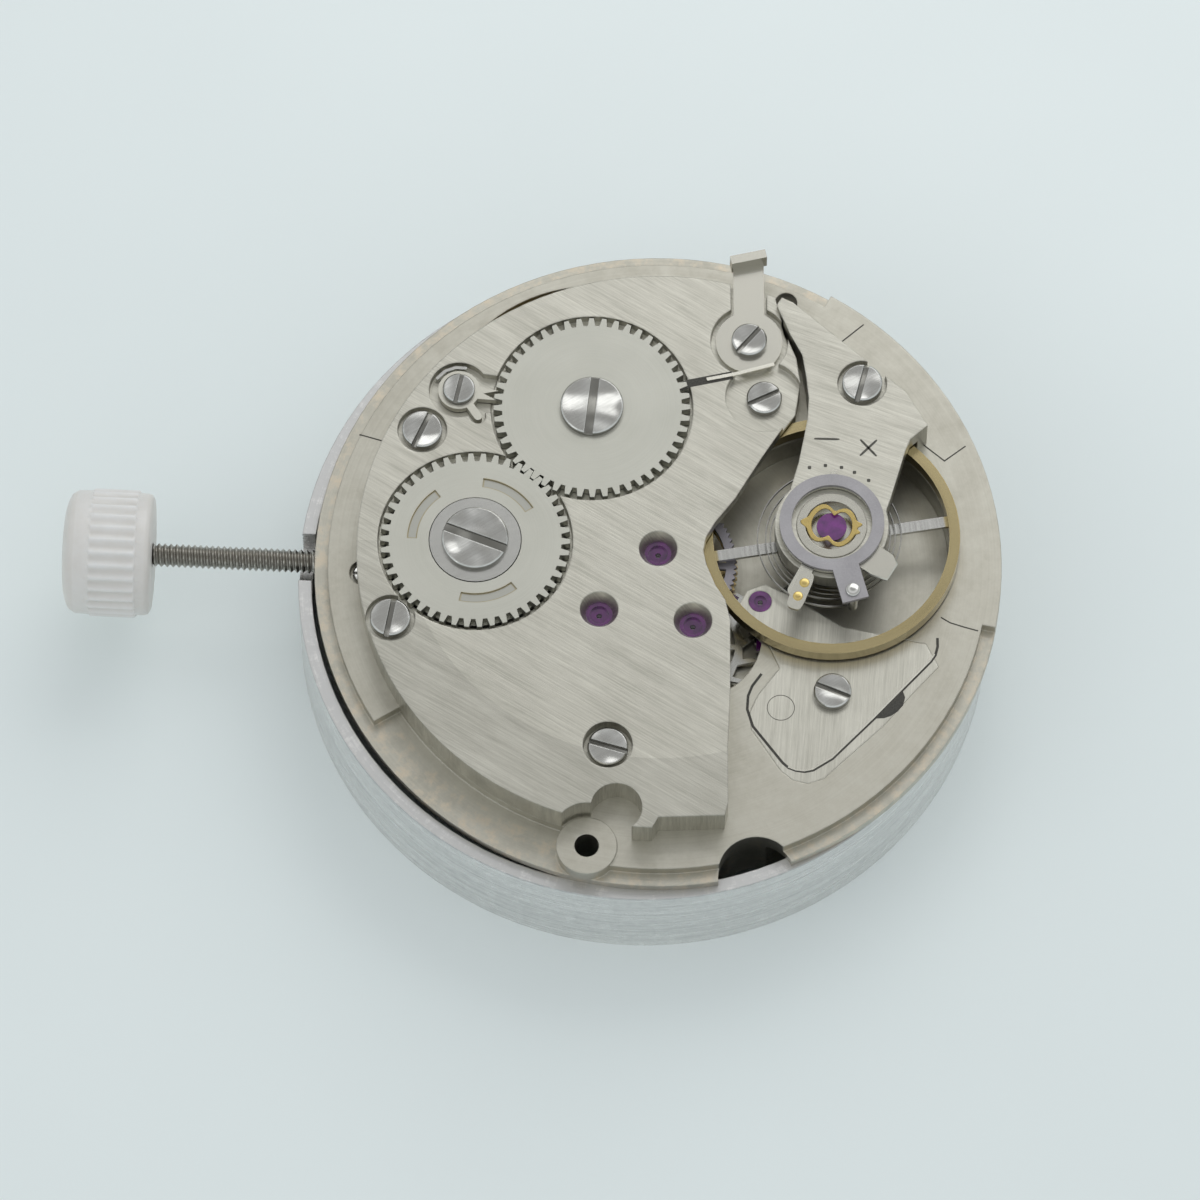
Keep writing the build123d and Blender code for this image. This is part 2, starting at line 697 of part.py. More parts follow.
def train_bridge():
    """The large bridge over barrel and train, with its pockets, sinks and holes."""
    under = bridge_foot - overrun
    bridge = disc(bridge_radius, bridge_foot, bridge_top)
    bridge -= slab(scaled(bridge_radius, bridge_edge_shares), under, above)
    bridge -= disc(bridge_notch_radius, under, above, scaled(bridge_radius,
                                                             bridge_notch_shares)[0])
    bridge -= disc(post_radius + side_play, under, above, post_at)
    bridge -= disc(balance_radius + 2 * side_play, under, balance_roof, balance_at)
    bridge -= disc(fourth_tip + side_play, under, bridge_roof)
    bridge -= disc(escape_hub + side_play, under, bridge_roof, escape_at)
    bridge -= disc(ratchet_radius + winding_addendum + side_play, pocket_z, above, barrel_at)
    bridge -= disc(barrel_collar_radius + running, under, above, barrel_at)
    bridge -= disc(crown_wheel_radius + winding_addendum + side_play, pocket_z, above,
                   crown_wheel_at)
    bridge -= tube(contrate_outer + side_play, contrate_inner - side_play,
                   contrate_foot - end_shake, above, crown_wheel_at)
    bridge -= bar(2 * winding_pinion_radius, winding_pinion_length + 2 * side_play, under,
                  stem_z + winding_pinion_radius + end_shake,
                  ((winding_pinion_x0 + winding_pinion_x1) / 2, 0.0))
    bridge -= disc(click_pocket_radius, click_z - end_shake, above, click_at)
    line = bearing(click_at, barrel_at)
    bridge -= link(2 * click_radius, click_z - end_shake, above, click_at,
                   polar(click_at, click_tail_length, line))
    bridge -= link(2 * click_beak_width, click_z - end_shake, above, click_at,
                   polar(click_at, click_tail_length, line + click_tail_angle))
    for at, depth in zip(bridge_screw_at, bridge_sinks):
        bridge -= disc(screw_sink_radius, bridge_top - depth, above, at)
    for at in clamp_screw_at:
        bridge -= disc(clamp_sink_radius, clamp_seat, above, at)
    bridge -= bar(clamp_width + 2 * side_play, 2 * clamp_length, clamp_seat, above,
                  polar(clamp_screw_at[0], clamp_length, clamp_angle), clamp_angle)
    for at in bridge_screw_at + clamp_screw_at + [crown_wheel_at, click_at]:
        bridge -= disc(screw_shank + running, under, above, at)
    for at in (centre, third_at, escape_at):
        bridge -= disc(bridge_jewel_radius, under, bridge_roof + bridge_jewel_height, at)
        bridge -= disc(jewel_lip_radius, under, above, at)
        bridge -= funnel(jewel_lip_radius, jewel_sink_radius, bridge_top - jewel_sink_depth,
                         bridge_top, at)
    return bridge


def balance_cock():
    """The cock over the balance, with the seat of the upper shock setting."""
    cock = slab(scaled(bridge_radius, cock_edge_shares), bridge_foot, cock_top)
    cock &= disc(bridge_radius, bridge_foot, cock_top)
    cock += disc(cock_nose_radius, balance_roof, cock_top, balance_at)
    cock -= disc(balance_radius + 2 * side_play, below, balance_roof, balance_at)
    cock -= disc(shock_block_radius, below, above, balance_at)
    cock -= disc(screw_sink_radius, cock_top - screw_sink_depth, above, cock_screw_at)
    return cock - disc(screw_shank + running, below, above, cock_screw_at)


def pallet_bridge():
    """The flush bridge over the pallet fork."""
    bridge = slab(scaled(bridge_radius, pallet_edge_shares), pallet_bridge_z, plate_top)
    bridge -= disc(screw_shank + running, below, above, pallet_screw_at)
    return bridge - disc(pallet_jewel_radius, below, above, pallet_at)


def winding_wheel(teeth, pitch_radius, at, phase):
    """A ratchet or crown wheel with square-ended teeth."""
    return slab(toothed(teeth, pitch_radius - winding_dedendum, pitch_radius + winding_addendum,
                        at, phase, winding_tip_share, winding_root_share), ratchet_z, ratchet_top)


def ratchet_wheel():
    """The ratchet wheel on the barrel arbor's square."""
    wheel = winding_wheel(ratchet_teeth, ratchet_radius, barrel_at, ratchet_phase)
    return wheel - bar(winding_square, winding_square, below, above, barrel_at)


def crown_wheel():
    """The crown wheel, with contrate teeth below that the winding pinion turns."""
    phase = mesh_phase(ratchet_teeth, ratchet_phase, crown_teeth, barrel_at, crown_wheel_at)
    wheel = winding_wheel(crown_teeth, crown_wheel_radius, crown_wheel_at, phase)
    band = tube(contrate_outer, contrate_inner, contrate_foot, ratchet_z, crown_wheel_at)
    step = 360 / contrate_teeth
    gap_width = 2 * pi * contrate_outer / contrate_teeth * winding_tip_share * 1.6
    for index in range(contrate_teeth):
        angle = (index + 0.5) * step
        band -= bar(gap_width, contrate_outer, contrate_foot - overrun,
                    contrate_foot + pinion_tooth_depth, polar(crown_wheel_at, contrate_outer, angle),
                    angle)
    wheel += band
    wheel -= disc(crown_core_radius + running, below, above, crown_wheel_at)
    for angle in kidney_angles:
        ring = tube(kidney_radius + kidney_width / 2, kidney_radius - kidney_width / 2,
                    ratchet_top - kidney_depth, above, crown_wheel_at)
        wheel -= ring & wedge(2 * kidney_radius, below, above, angle - kidney_sweep,
                              angle + kidney_sweep, crown_wheel_at)
    return wheel


def click():
    """The click: a boss with two beaks in the ratchet's teeth and a tail for its spring."""
    line = bearing(click_at, barrel_at)
    reach = between(click_at, barrel_at) - ratchet_radius - winding_addendum + click_bite
    z1 = click_z + click_thickness
    body = disc(click_radius, click_z, z1, click_at)
    for angle in click_beak_angles:
        tip = polar(click_at, reach, line + angle)
        side = click_beak_width / 2
        body += slab([polar(click_at, side, line + angle + 90), polar(click_at, side,
                                                                      line + angle - 90),
                      polar(polar(click_at, click_radius, line + angle), side,
                            line + angle - 90), tip,
                      polar(polar(click_at, click_radius, line + angle), side,
                            line + angle + 90)], click_z, z1)
    body += link(click_beak_width, click_z, z1, click_at,
                 polar(click_at, click_tail_length, line + click_tail_angle)) \
        - disc(ratchet_radius + winding_addendum + running, below, above, barrel_at)
    return body - disc(click_collar_radius + running, below, above, click_at)


def click_screw():
    """The click's shouldered screw."""
    seat = click_z + click_thickness + seam
    screw = slotted_screw(click_screw_radius, click_screw_height, click_shank, seat,
                          bridge_foot + side_play, click_at, 80)
    return screw + disc(click_collar_radius, click_z - end_shake, seat, click_at)


def click_spring():
    """The bent wire round the click, held in the edge of its pocket."""
    places = [polar(click_at, click_spring_reach, angle) for angle in click_spring_angles]
    spring = [link(click_spring_wire, click_z, click_z + 2 * click_spring_wire, a, b)
              for a, b in zip(places, places[1:])]
    return spring[0] + spring[1] + spring[2]


def barrel_drum():
    """The toothed mainspring drum."""
    drum = spur(barrel_teeth, barrel_module, barrel_z, barrel_z + barrel_band, barrel_at)
    drum += disc(barrel_drum_radius, barrel_z, barrel_top - barrel_cover_thickness, barrel_at)
    drum -= disc(barrel_drum_radius - barrel_wall, barrel_z + barrel_base, above, barrel_at)
    return drum - disc(barrel_pivot_radius + running, below, above, barrel_at)


def barrel_arbor():
    """The arbor that the ratchet wheel winds, with its square and its hook hub."""
    shaft = disc(barrel_foot_radius, dial_recess + end_shake, barrel_floor + end_shake, barrel_at)
    shaft += disc(barrel_pivot_radius, barrel_floor + end_shake, barrel_top + end_shake, barrel_at)
    shaft += disc(barrel_hub_radius, barrel_z + barrel_base + end_shake,
                  barrel_top - barrel_cover_thickness - end_shake, barrel_at)
    shaft += disc(barrel_collar_radius, barrel_top + end_shake, ratchet_z, barrel_at)
    side = winding_square - running
    shaft += bar(side, side, ratchet_z, ratchet_top - end_shake, barrel_at)
    return shaft - disc(screw_shank + running, ratchet_z - screw_length / 2, above, barrel_at)


def train_wheel(teeth, module, z0, at, hub, boss):
    """A crossed-out train wheel."""
    z1 = z0 + wheel_thickness
    wheel = crossed(spur(teeth, module, z0, z1, at), module * teeth / 2 - train_rim, boss,
                    train_spokes, train_spoke, z0, z1, at)
    return wheel - disc(hub, below, above, at)


def centre_pinion():
    """The hollow centre pinion, whose lower pipe carries the cannon pinion."""
    z0 = barrel_floor + end_shake
    phase = mesh_phase(barrel_teeth, 0.0, centre_leaves, barrel_at, centre)
    pinion = spur(centre_leaves, barrel_module, z0, barrel_z + barrel_band + pinion_over, centre,
                  phase)
    pinion += disc(centre_hub, z0, centre_wheel_z + wheel_thickness, centre)
    pinion += disc(centre_pipe_radius, cannon_tip_z + cannon_seat_length / 2, z0, centre)
    return pinion - disc(centre_pipe_bore, cannon_tip_z, above, centre)


def third_pinion():
    """The third pinion and its arbor."""
    phase = mesh_phase(centre_teeth, 0.0, third_leaves, centre, third_at)
    pinion = arbor(arbor_radius, train_floor + end_shake, bridge_roof - end_shake, third_at)
    return pinion + spur(third_leaves, centre_module, train_floor + 2 * end_shake,
                         third_wheel_z - seam, third_at, phase)


def fourth_pinion():
    """The fourth pinion, whose long arbor runs down through the centre pinion."""
    phase = mesh_phase(third_teeth, 0.0, fourth_leaves, third_at, centre)
    tip_z = cannon_tip_z - seconds_free_length
    taper_z, top = tip_z + seconds_pivot_length, bridge_roof - end_shake
    shaft_z = taper_z + seconds_taper_length
    shaft = disc(seconds_pivot_radius, tip_z, taper_z)
    shaft += funnel(seconds_pivot_radius, thin_arbor_radius, taper_z, shaft_z, centre)
    shaft += disc(thin_arbor_radius, shaft_z, top) + disc(pivot_radius, top, top + pivot_length)
    return shaft + spur(fourth_leaves, third_module, third_wheel_z - pinion_over,
                        fourth_wheel_z, centre, phase)


def escape_pinion():
    """The escape pinion and its arbor."""
    phase = mesh_phase(fourth_teeth, 0.0, escape_leaves, centre, escape_at)
    pinion = arbor(thin_arbor_radius, pocket_floor + end_shake, bridge_roof - end_shake,
                   escape_at)
    return pinion + spur(escape_leaves, fourth_module, fourth_wheel_z - pinion_over,
                         bridge_roof - end_shake, escape_at, phase)


def escape_wheel():
    """The escape wheel, with fifteen raked club teeth."""
    step = 360 / escape_teeth
    tooth = ((-0.5, 1.0), (-0.13, 0.23), (-0.11, 0.08), (0.0, 0.0), (0.04, 0.16), (-0.13, 0.85))
    points = [polar(escape_at, escape_tip - depth * escape_tooth_depth,
                    escape_line + (index + 0.25 + turn) * step)
              for index in range(escape_teeth) for turn, depth in tooth]
    wheel = slab(points, escape_wheel_z, fork_top)
    wheel = crossed(wheel, escape_tip - escape_tooth_depth - escape_rim, escape_hub,
                    escape_spokes, escape_spoke, escape_wheel_z, fork_top, escape_at)
    return wheel - disc(thin_arbor_radius, below, above, escape_at)


def stone(side):
    """One pallet stone, which meets the escape teeth 30 degrees beside the centres."""
    place = polar(escape_at, escape_tip, escape_line + side * 30)
    line = bearing(pallet_at, place)
    return bar(stone_width, stone_length, escape_wheel_z, fork_top,
               polar(place, -stone_length / 4, line), line)


def pallet_fork():
    """The lever with its arbor, two pallet arms and the notched fork."""
    length = between(pallet_at, balance_at) - impulse_distance
    body = disc(pallet_hub_radius, escape_wheel_z, fork_top, pallet_at)
    for side in (-1, 1):
        place = polar(escape_at, escape_tip, escape_line + side * 30)
        seat = polar(place, -stone_length / 2, bearing(pallet_at, place))
        body += link(pallet_arm_width, escape_wheel_z, fork_top, pallet_at, seat)
    tip = polar(pallet_at, length, fork_line)
    root = polar(pallet_at, length - fork_depth / 2, fork_line)
    body += link(fork_lever_width, escape_wheel_z, fork_top, pallet_at, root)
    body += bar(fork_width, fork_depth, escape_wheel_z, fork_top,
                polar(pallet_at, length - fork_depth / 4, fork_line), fork_line)
    body -= bar(2 * (impulse_radius + running), fork_depth, below, above, tip, fork_line)
    body += arbor(pallet_arbor_radius, pocket_floor + end_shake, pallet_bridge_z - end_shake,
                  pallet_at)
    return body - stone(-1) - stone(1)


def balance_wheel():
    """The smooth brass rim with its two arms."""
    wheel = tube(balance_radius, balance_radius - balance_rim_width, balance_z, balance_top,
                 balance_at)
    z1 = balance_arm_z + balance_arm_thickness
    wheel += bar(balance_arm_width, 2 * balance_radius - balance_rim_width, balance_arm_z, z1,
                 balance_at, balance_arm_angle)
    wheel += disc(balance_hub_radius, balance_arm_z, z1, balance_at)
    return wheel - disc(staff_radius, below, above, balance_at)


def balance_staff():
    """The staff between the two shock settings."""
    return arbor(staff_radius, lower_block_z1 + end_shake, upper_block_z0 - end_shake, balance_at)


def shock_block(z0, z1, well_up):
    """The chaton that holds the jewels, open towards the outside of the movement."""
    block = disc(shock_block_radius, z0, z1, balance_at)
    depth = (z1 - z0) * shock_well_share
    well_z = z1 - depth if well_up else z0
    block -= disc(shock_well_radius, well_z, well_z + depth, balance_at)
    return block - disc(jewel_hole + running, z0, z1, balance_at)


def lyre(z0):
    """The lyre spring over a cap jewel, with four notches and two tongues."""
    z1 = z0 + shock_spring_thickness
    spring = tube(shock_spring_outer, shock_spring_inner, z0, z1, balance_at)
    for angle in (45, 135, 225, 315):
        spring -= disc(shock_tab_width, below, above,
                       polar(balance_at, shock_spring_outer, angle))
    for angle in (0, 180):
        spring += bar(shock_tab_width, shock_spring_inner, z0, z1,
                      polar(balance_at, shock_spring_inner * 0.7, angle), angle)
    return spring


def regulator():
    """The index ring with its pointer and the arm that carries the curb pins."""
    z1 = regulator_z + regulator_thickness
    ring = disc(regulator_outer, regulator_z, z1, balance_at)
    ring += link(regulator_arm_width, regulator_z, z1,
                 polar(balance_at, (regulator_inner + regulator_outer) / 2, curb_angle),
                 polar(balance_at, hairspring_reach + curb_gap, curb_angle))
    ring += bar(pointer_width, pointer_length, regulator_z, z1,
                polar(balance_at, regulator_outer, 90), 90)
    ring -= disc(regulator_inner, below, above, balance_at)
    for place in curb_places:
        ring -= disc(curb_pin_radius, below, above, place)
    return ring


def stud_carrier():
    """The grey ring above the index, whose arm holds the hairspring stud."""
    z1 = stud_ring_z + stud_ring_thickness
    ring = disc(regulator_outer, stud_ring_z, z1, balance_at)
    ring += bar(stud_arm_width, stud_arm_length, stud_ring_z, z1, polar(
        balance_at, hairspring_reach - 2 * curb_gap, stud_angle), stud_angle)
    ring -= disc(regulator_inner, below, above, balance_at)
    return ring - disc(stud_radius, below, above, stud_at)


def along_stem(corners, x0, x1):
    """A profile square to the stem, raised along it."""
    face = make_face(Polyline(*corners, close=True))
    return extrude(Plane.YZ.offset(x0) * Pos(0, stem_z) * face, x1 - x0)


def fluted(radius, x0, x1, teeth, depth):
    """A round body along the stem, toothed round its rim."""
    tooth = ((-0.28, radius - depth), (-0.18, radius), (0.18, radius), (0.28, radius - depth))
    return along_stem([polar(centre, reach, (index + turn) * 360 / teeth)
                       for index in range(teeth) for turn, reach in tooth], x0, x1)


def square_x(side, x0, x1):
    """A square bar along the stem axis."""
    half = side / 2
    return along_stem([(-half, -half), (half, -half), (half, half), (-half, half)], x0, x1)


def winding_pinion():
    """Turned by the clutch in the winding position; it drives the crown wheel's contrate teeth."""
    body = fluted(winding_pinion_radius, winding_pinion_x0, winding_pinion_x1, winding_teeth,
                  pinion_tooth_depth)
    return body - rod_x(winding_pinion_bore, winding_pinion_x0, winding_pinion_x1)


def sliding_pinion():
    """The clutch on the stem's square, shifted by the yoke."""
    body = fluted(clutch_radius, clutch_x0, clutch_x1, clutch_teeth, clutch_tooth_depth)
    x1 = clutch_groove_x + clutch_groove_width
    body -= rod_x(2 * clutch_radius, clutch_groove_x, x1) \
        - rod_x(clutch_groove_radius, clutch_groove_x, x1)
    return body - square_x(square_side + 2 * running, clutch_x0, clutch_x1)


def winding_stem():
    """The stem: long thread, bearing, groove, square and pilot."""
    stem = rod_x(stem_thread_radius, stem_outer_x - crown_bore_depth, stem_bearing_x)
    stem += rod_x(stem_bearing_radius, stem_bearing_x, groove_x - groove_width / 2)
    stem += rod_x(groove_radius, groove_x - groove_width / 2, groove_x + groove_width / 2)
    stem += rod_x(stem_bearing_radius, groove_x + groove_width / 2, winding_pinion_x0 - side_play)
    stem += square_x(square_side, winding_pinion_x0 - side_play, square_x1)
    return stem + rod_x(pilot_radius, square_x1, square_x1 + pilot_length)


def crown():
    """The plain crown: a domed cap, a fluted band, a collar and the bored hole for the stem."""
    x1 = stem_outer_x
    x0 = x1 - crown_length
    band_x0, band_x1 = x0 + crown_cap_length, x1 - crown_collar_length
    dome = [(x0 + crown_dome * along, stem_z + crown_radius * out)
            for along, out in crown_profile_shares]
    rim = stem_z + crown_radius * crown_cap_share
    side = make_face([ThreePointArc(*dome),
                      Polyline(dome[-1], (band_x0, rim), (band_x0, stem_z), (x0, stem_z), dome[0])])
    body = revolve(Plane.XZ * side, Axis((0, 0, stem_z), (1, 0, 0)))
    body += fluted(crown_radius, band_x0, band_x1, crown_flutes, crown_flute_depth)
    body += rod_x(crown_radius * crown_collar_share, band_x1, x1)
    return body - rod_x(stem_thread_radius, x1 - crown_bore_depth, x1)


def setting_lever():
    """The detent lever, whose pin rides in the stem's groove."""
    z1 = lever_z + lever_thickness
    pin_at = (groove_x, 0.0)
    tail = polar(setting_pivot, lever_tail_length, lever_tail_angle)
    lever = link(lever_arm_width, lever_z, z1, setting_pivot, pin_at)
    lever += link(lever_width, lever_z, z1, setting_pivot, tail)
    lever += disc(lever_pin_radius, z1, stem_z - groove_radius - end_shake, pin_at)
    return lever - disc(setting_shank, below, above, setting_pivot)


def yoke():
    """The yoke, whose pin rides in the clutch's groove."""
    z1 = lever_z + lever_thickness
    pin_at = (clutch_groove_x + clutch_groove_width / 2, yoke_pin_y)
    arm = link(yoke_width, lever_z, z1, yoke_pivot, pin_at)
    arm += disc(yoke_pin_radius, z1, stem_z - clutch_groove_radius, pin_at)
    return arm - disc(post_pin_radius + running, below, above, yoke_pivot)


def setting_jumper():
    """The fixed spring that holds the setting lever in its two places."""
    z1 = lever_z + lever_thickness
    a, b, c, d = scaled(flange_radius, jumper_shares)
    plate = link(jumper_width, lever_z, z1, a, b) + link(jumper_spring_width, lever_z, z1, c, d)
    return plate - disc(post_pin_radius + running, below, above, jumper_at)


def cannon_pinion():
    """The cannon pinion, whose tip is the minute-hand seat."""
    pinion = spur(cannon_teeth, cannon_module, minute_wheel_z - seam, dial_recess - end_shake,
                  centre)
    shoulder_z = cannon_tip_z + cannon_seat_length
    pinion += disc(cannon_pipe_radius, shoulder_z, minute_wheel_z - seam, centre)
    pinion += disc(cannon_radius, cannon_tip_z, shoulder_z, centre)
    return pinion - disc(centre_pipe_radius + running, below - dial_seat, above, centre)


def minute_wheel():
    """The minute wheel with its pinion, on a post of the plate."""
    phase = mesh_phase(cannon_teeth, 0.0, minute_teeth, centre, minute_at)
    wheel = spur(minute_teeth, cannon_module, minute_wheel_z, minute_wheel_z + motion_thickness,
                 minute_at, phase)
    wheel += spur(minute_leaves, hour_module, hour_wheel_z, minute_wheel_z, minute_at)
    return wheel - disc(post_pin_radius + running, below, above, minute_at)


def hour_wheel():
    """The hour wheel, whose pipe is the hour-hand seat."""
    phase = mesh_phase(minute_leaves, 0.0, hour_teeth, minute_at, centre)
    z1 = hour_wheel_z + motion_thickness
    wheel = spur(hour_teeth, hour_module, hour_wheel_z, z1, centre, phase)
    wheel += disc(hour_pipe_radius, hour_wheel_z - hour_pipe_length, hour_wheel_z, centre)
    return wheel - disc(cannon_pipe_radius + running, below - dial_seat, above, centre)


def setting_wheel():
    """The setting wheel between the clutch and the minute wheel."""
    minute_phase = mesh_phase(cannon_teeth, 0.0, minute_teeth, centre, minute_at)
    phase = mesh_phase(minute_teeth, minute_phase, setting_teeth, minute_at, setting_wheel_at)
    wheel = spur(setting_teeth, cannon_module, minute_wheel_z,
                 minute_wheel_z + setting_wheel_height, setting_wheel_at, phase)
    return wheel - disc(post_pin_radius + running, below, above, setting_wheel_at)


def case_clamp():
    """The bent casing clamp, held under its screw head."""
    at = clamp_screw_at[0]
    z1 = clamp_seat + clamp_thickness
    clamp = disc(clamp_disc_radius, clamp_seat, z1, at)
    clamp += bar(clamp_width, clamp_length, clamp_seat, z1,
                 polar(at, clamp_length / 2, clamp_angle), clamp_angle)
    clamp += bar(clamp_lip_width, clamp_lip_length, clamp_seat, clamp_seat + clamp_lip_height,
                 polar(at, clamp_length, clamp_angle), clamp_angle - clamp_lip_angle)
    return clamp - disc(screw_shank + running, below, above, at)


def save(node, *solids):
    """Writes one node, of one or more separate solids, lowered to the height of the origin."""
    lowered = [Pos(0, 0, -seat_height) * solid for solid in solids]
    shape = lowered[0] if len(lowered) == 1 else Compound(children=lowered)
    shape.label = node
    export_step(shape, "parts/" + node + ".step")


def save_frame():
    """Ring, plate, bridges, screws and clamp."""
    shank_z = plate_top - screw_length + seam
    save("casing_ring", casing_ring())
    save("main_plate", main_plate())
    save("train_bridge", train_bridge())
    save("balance_cock", balance_cock())
    save("pallet_bridge", pallet_bridge())
    save("bridge_screws", *[
        slotted_screw(screw_radius, screw_height, screw_shank, bridge_top - depth, shank_z, at, slot)
        for at, depth, slot in zip(bridge_screw_at, bridge_sinks, bridge_screw_angles)])
    save("cock_screw", slotted_screw(screw_radius, screw_height, screw_shank,
                                     cock_top - screw_sink_depth, shank_z, cock_screw_at,
                                     cock_screw_angle))
    save("pallet_bridge_screw", slotted_screw(pallet_screw_radius, low_head_height, screw_shank,
                                              plate_top, shank_z, pallet_screw_at,
                                              pallet_screw_angle))
    save("case_clamp", case_clamp())
    seats = (clamp_seat + clamp_thickness, clamp_seat)
    ends = (bridge_foot + side_play, shank_z)
    save("clamp_screws", *[
        slotted_screw(clamp_screw_radius, low_head_height, screw_shank, seat, end, at, slot)
        for at, seat, end, slot in zip(clamp_screw_at, seats, ends, clamp_screw_angles)])


def save_jewels():
    """The rubies, the two shock settings and their springs."""
    save("bridge_jewels", *[holed_jewel(bridge_jewel_radius, bridge_roof,
                                        bridge_roof + bridge_jewel_height, at)
                            for at in (centre, third_at, escape_at)])
    save("plate_jewels", *[holed_jewel(jewel_radius, z - jewel_height, z, at, False)
                           for at, z in jewel_seats])
    save("pallet_bridge_jewel", holed_jewel(pallet_jewel_radius, pallet_bridge_z, plate_top,
                                            pallet_at))
    save("shock_blocks", shock_block(upper_block_z0, upper_block_z1, True),
         shock_block(lower_block_z0, lower_block_z1, False))
    up = upper_block_z1 - (upper_block_z1 - upper_block_z0) * shock_well_share
    low = lower_block_z0 + (lower_block_z1 - lower_block_z0) * shock_well_share
    save("cap_jewels", disc(shock_jewel_radius, up, up + shock_jewel_height, balance_at),
         disc(shock_jewel_radius, low - shock_jewel_height, low, balance_at))
    save("shock_springs", lyre(up + shock_jewel_height),
         lyre(low - shock_jewel_height - shock_spring_thickness))


def save_winding():
    """Barrel, winding wheels, click, stem and crown."""
    save("ratchet_wheel", ratchet_wheel())
    save("ratchet_screw", slotted_screw(ratchet_screw_radius, wide_head_height, screw_shank,
                                        ratchet_top, ratchet_z - screw_length / 2 + seam,
                                        barrel_at, 86))
    save("barrel_arbor", barrel_arbor())
    save("barrel_drum", barrel_drum())
    save("barrel_cover", tube(barrel_drum_radius, barrel_pivot_radius + running,
                              barrel_top - barrel_cover_thickness, barrel_top, barrel_at))
    save("mainspring", spiral_ribbon(barrel_at, mainspring_start, mainspring_pitch,
                                     mainspring_turns, mainspring_pitch / 2, mainspring_thickness,
                                     barrel_z + barrel_base + end_shake,
                                     barrel_top - barrel_cover_thickness - end_shake, 0))
    save("crown_wheel", crown_wheel())
    save("crown_wheel_core", tube(crown_core_radius, screw_shank + running, pocket_z,
                                  ratchet_top + seam, crown_wheel_at))
    save("crown_wheel_screw", slotted_screw(crown_screw_radius, wide_head_height, screw_shank,
                                            ratchet_top + seam, bridge_foot + side_play,
                                            crown_wheel_at, -19))
    save("click", click())
    save("click_screw", click_screw())
    save("click_spring", click_spring())
    save("winding_pinion", winding_pinion())
    save("sliding_pinion", sliding_pinion())
    save("winding_stem", winding_stem())
    save("crown", crown())


def save_train():
    """Going train, escapement and balance."""
    save("centre_wheel", train_wheel(centre_teeth, centre_module, centre_wheel_z, centre,
                                     centre_hub, centre_boss))
    save("centre_pinion", centre_pinion())
    save("third_wheel", train_wheel(third_teeth, third_module, third_wheel_z, third_at,
                                    arbor_radius, third_boss))
    save("third_pinion", third_pinion())
    save("fourth_wheel", train_wheel(fourth_teeth, fourth_module, fourth_wheel_z, centre,
                                     thin_arbor_radius, fourth_boss))
    save("fourth_pinion", fourth_pinion())
    save("escape_wheel", escape_wheel())
    save("escape_pinion", escape_pinion())
    save("pallet_fork", pallet_fork())
    save("pallet_stones", stone(-1), stone(1))
    save("balance_wheel", balance_wheel())
    save("balance_staff", balance_staff())
    roller_top = roller_z + roller_thickness
    roller = tube(roller_radius, staff_radius, roller_z, roller_top, balance_at)
    save("roller_table", roller - disc(impulse_radius, below, above, impulse_at))
    save("impulse_jewel", disc(impulse_radius, escape_wheel_z, roller_top, impulse_at))
    spring_top = hairspring_z + hairspring_height
    save("hairspring", spiral_ribbon(balance_at, hairspring_start, hairspring_pitch,
                                     hairspring_turns, hairspring_outer_step,
                                     hairspring_thickness, hairspring_z, spring_top, stud_angle))
    save("hairspring_collet", tube(collet_radius, staff_radius, hairspring_z, spring_top,
                                   balance_at))
    save("regulator", regulator())
    save("curb_pins", *[disc(curb_pin_radius, hairspring_z, regulator_z + regulator_thickness,
                             place) for place in curb_places])
    save("stud_carrier", stud_carrier())
    save("hairspring_stud", disc(stud_radius, hairspring_z - stud_proud,
                                 stud_ring_z + stud_ring_thickness + stud_proud, stud_at))


def save_dial_side():
    """Motion works and the keyless levers."""
    save("setting_lever", setting_lever())
    save("setting_lever_screw", slotted_screw(
        setting_screw_radius, setting_head_height, setting_shank,
        plate_top - screw_sink_depth + end_shake, lever_z, setting_pivot, 4))
    save("yoke", yoke())
    save("setting_jumper", setting_jumper())
    save("cannon_pinion", cannon_pinion())
    save("hour_wheel", hour_wheel())
    save("minute_wheel", minute_wheel())
    save("setting_wheel", setting_wheel())


save_frame()
save_jewels()
save_winding()
save_train()
save_dial_side()
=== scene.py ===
"""Looks of a hand-wound watch movement that lies bridge side up in its casing ring.

Metres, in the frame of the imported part: +Z out of the bridge side, the stem along -X and
the origin on the hand axis at the minute-hand seat.
"""
from math import cos, pi, radians, sin

import bpy
import numpy as np
from mathutils import Matrix, Vector


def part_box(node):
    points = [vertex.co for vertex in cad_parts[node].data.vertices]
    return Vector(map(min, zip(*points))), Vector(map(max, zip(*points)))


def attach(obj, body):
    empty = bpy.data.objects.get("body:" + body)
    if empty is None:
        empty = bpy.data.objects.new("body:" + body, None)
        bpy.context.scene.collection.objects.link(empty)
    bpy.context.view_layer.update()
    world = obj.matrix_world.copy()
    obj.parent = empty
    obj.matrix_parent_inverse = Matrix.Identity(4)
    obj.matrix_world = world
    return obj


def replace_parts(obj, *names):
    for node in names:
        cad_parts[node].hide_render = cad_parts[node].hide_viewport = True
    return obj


bl_info = {
    "name": "Watch movement looks",
    "version": (1, 0, 0),
    "blender": (4, 5, 0),
    "location": "View3D > Sidebar > Movement",
    "description": "Finishes, stem thread, crown, springs and stage of a watch movement",
    "category": "Object",
}

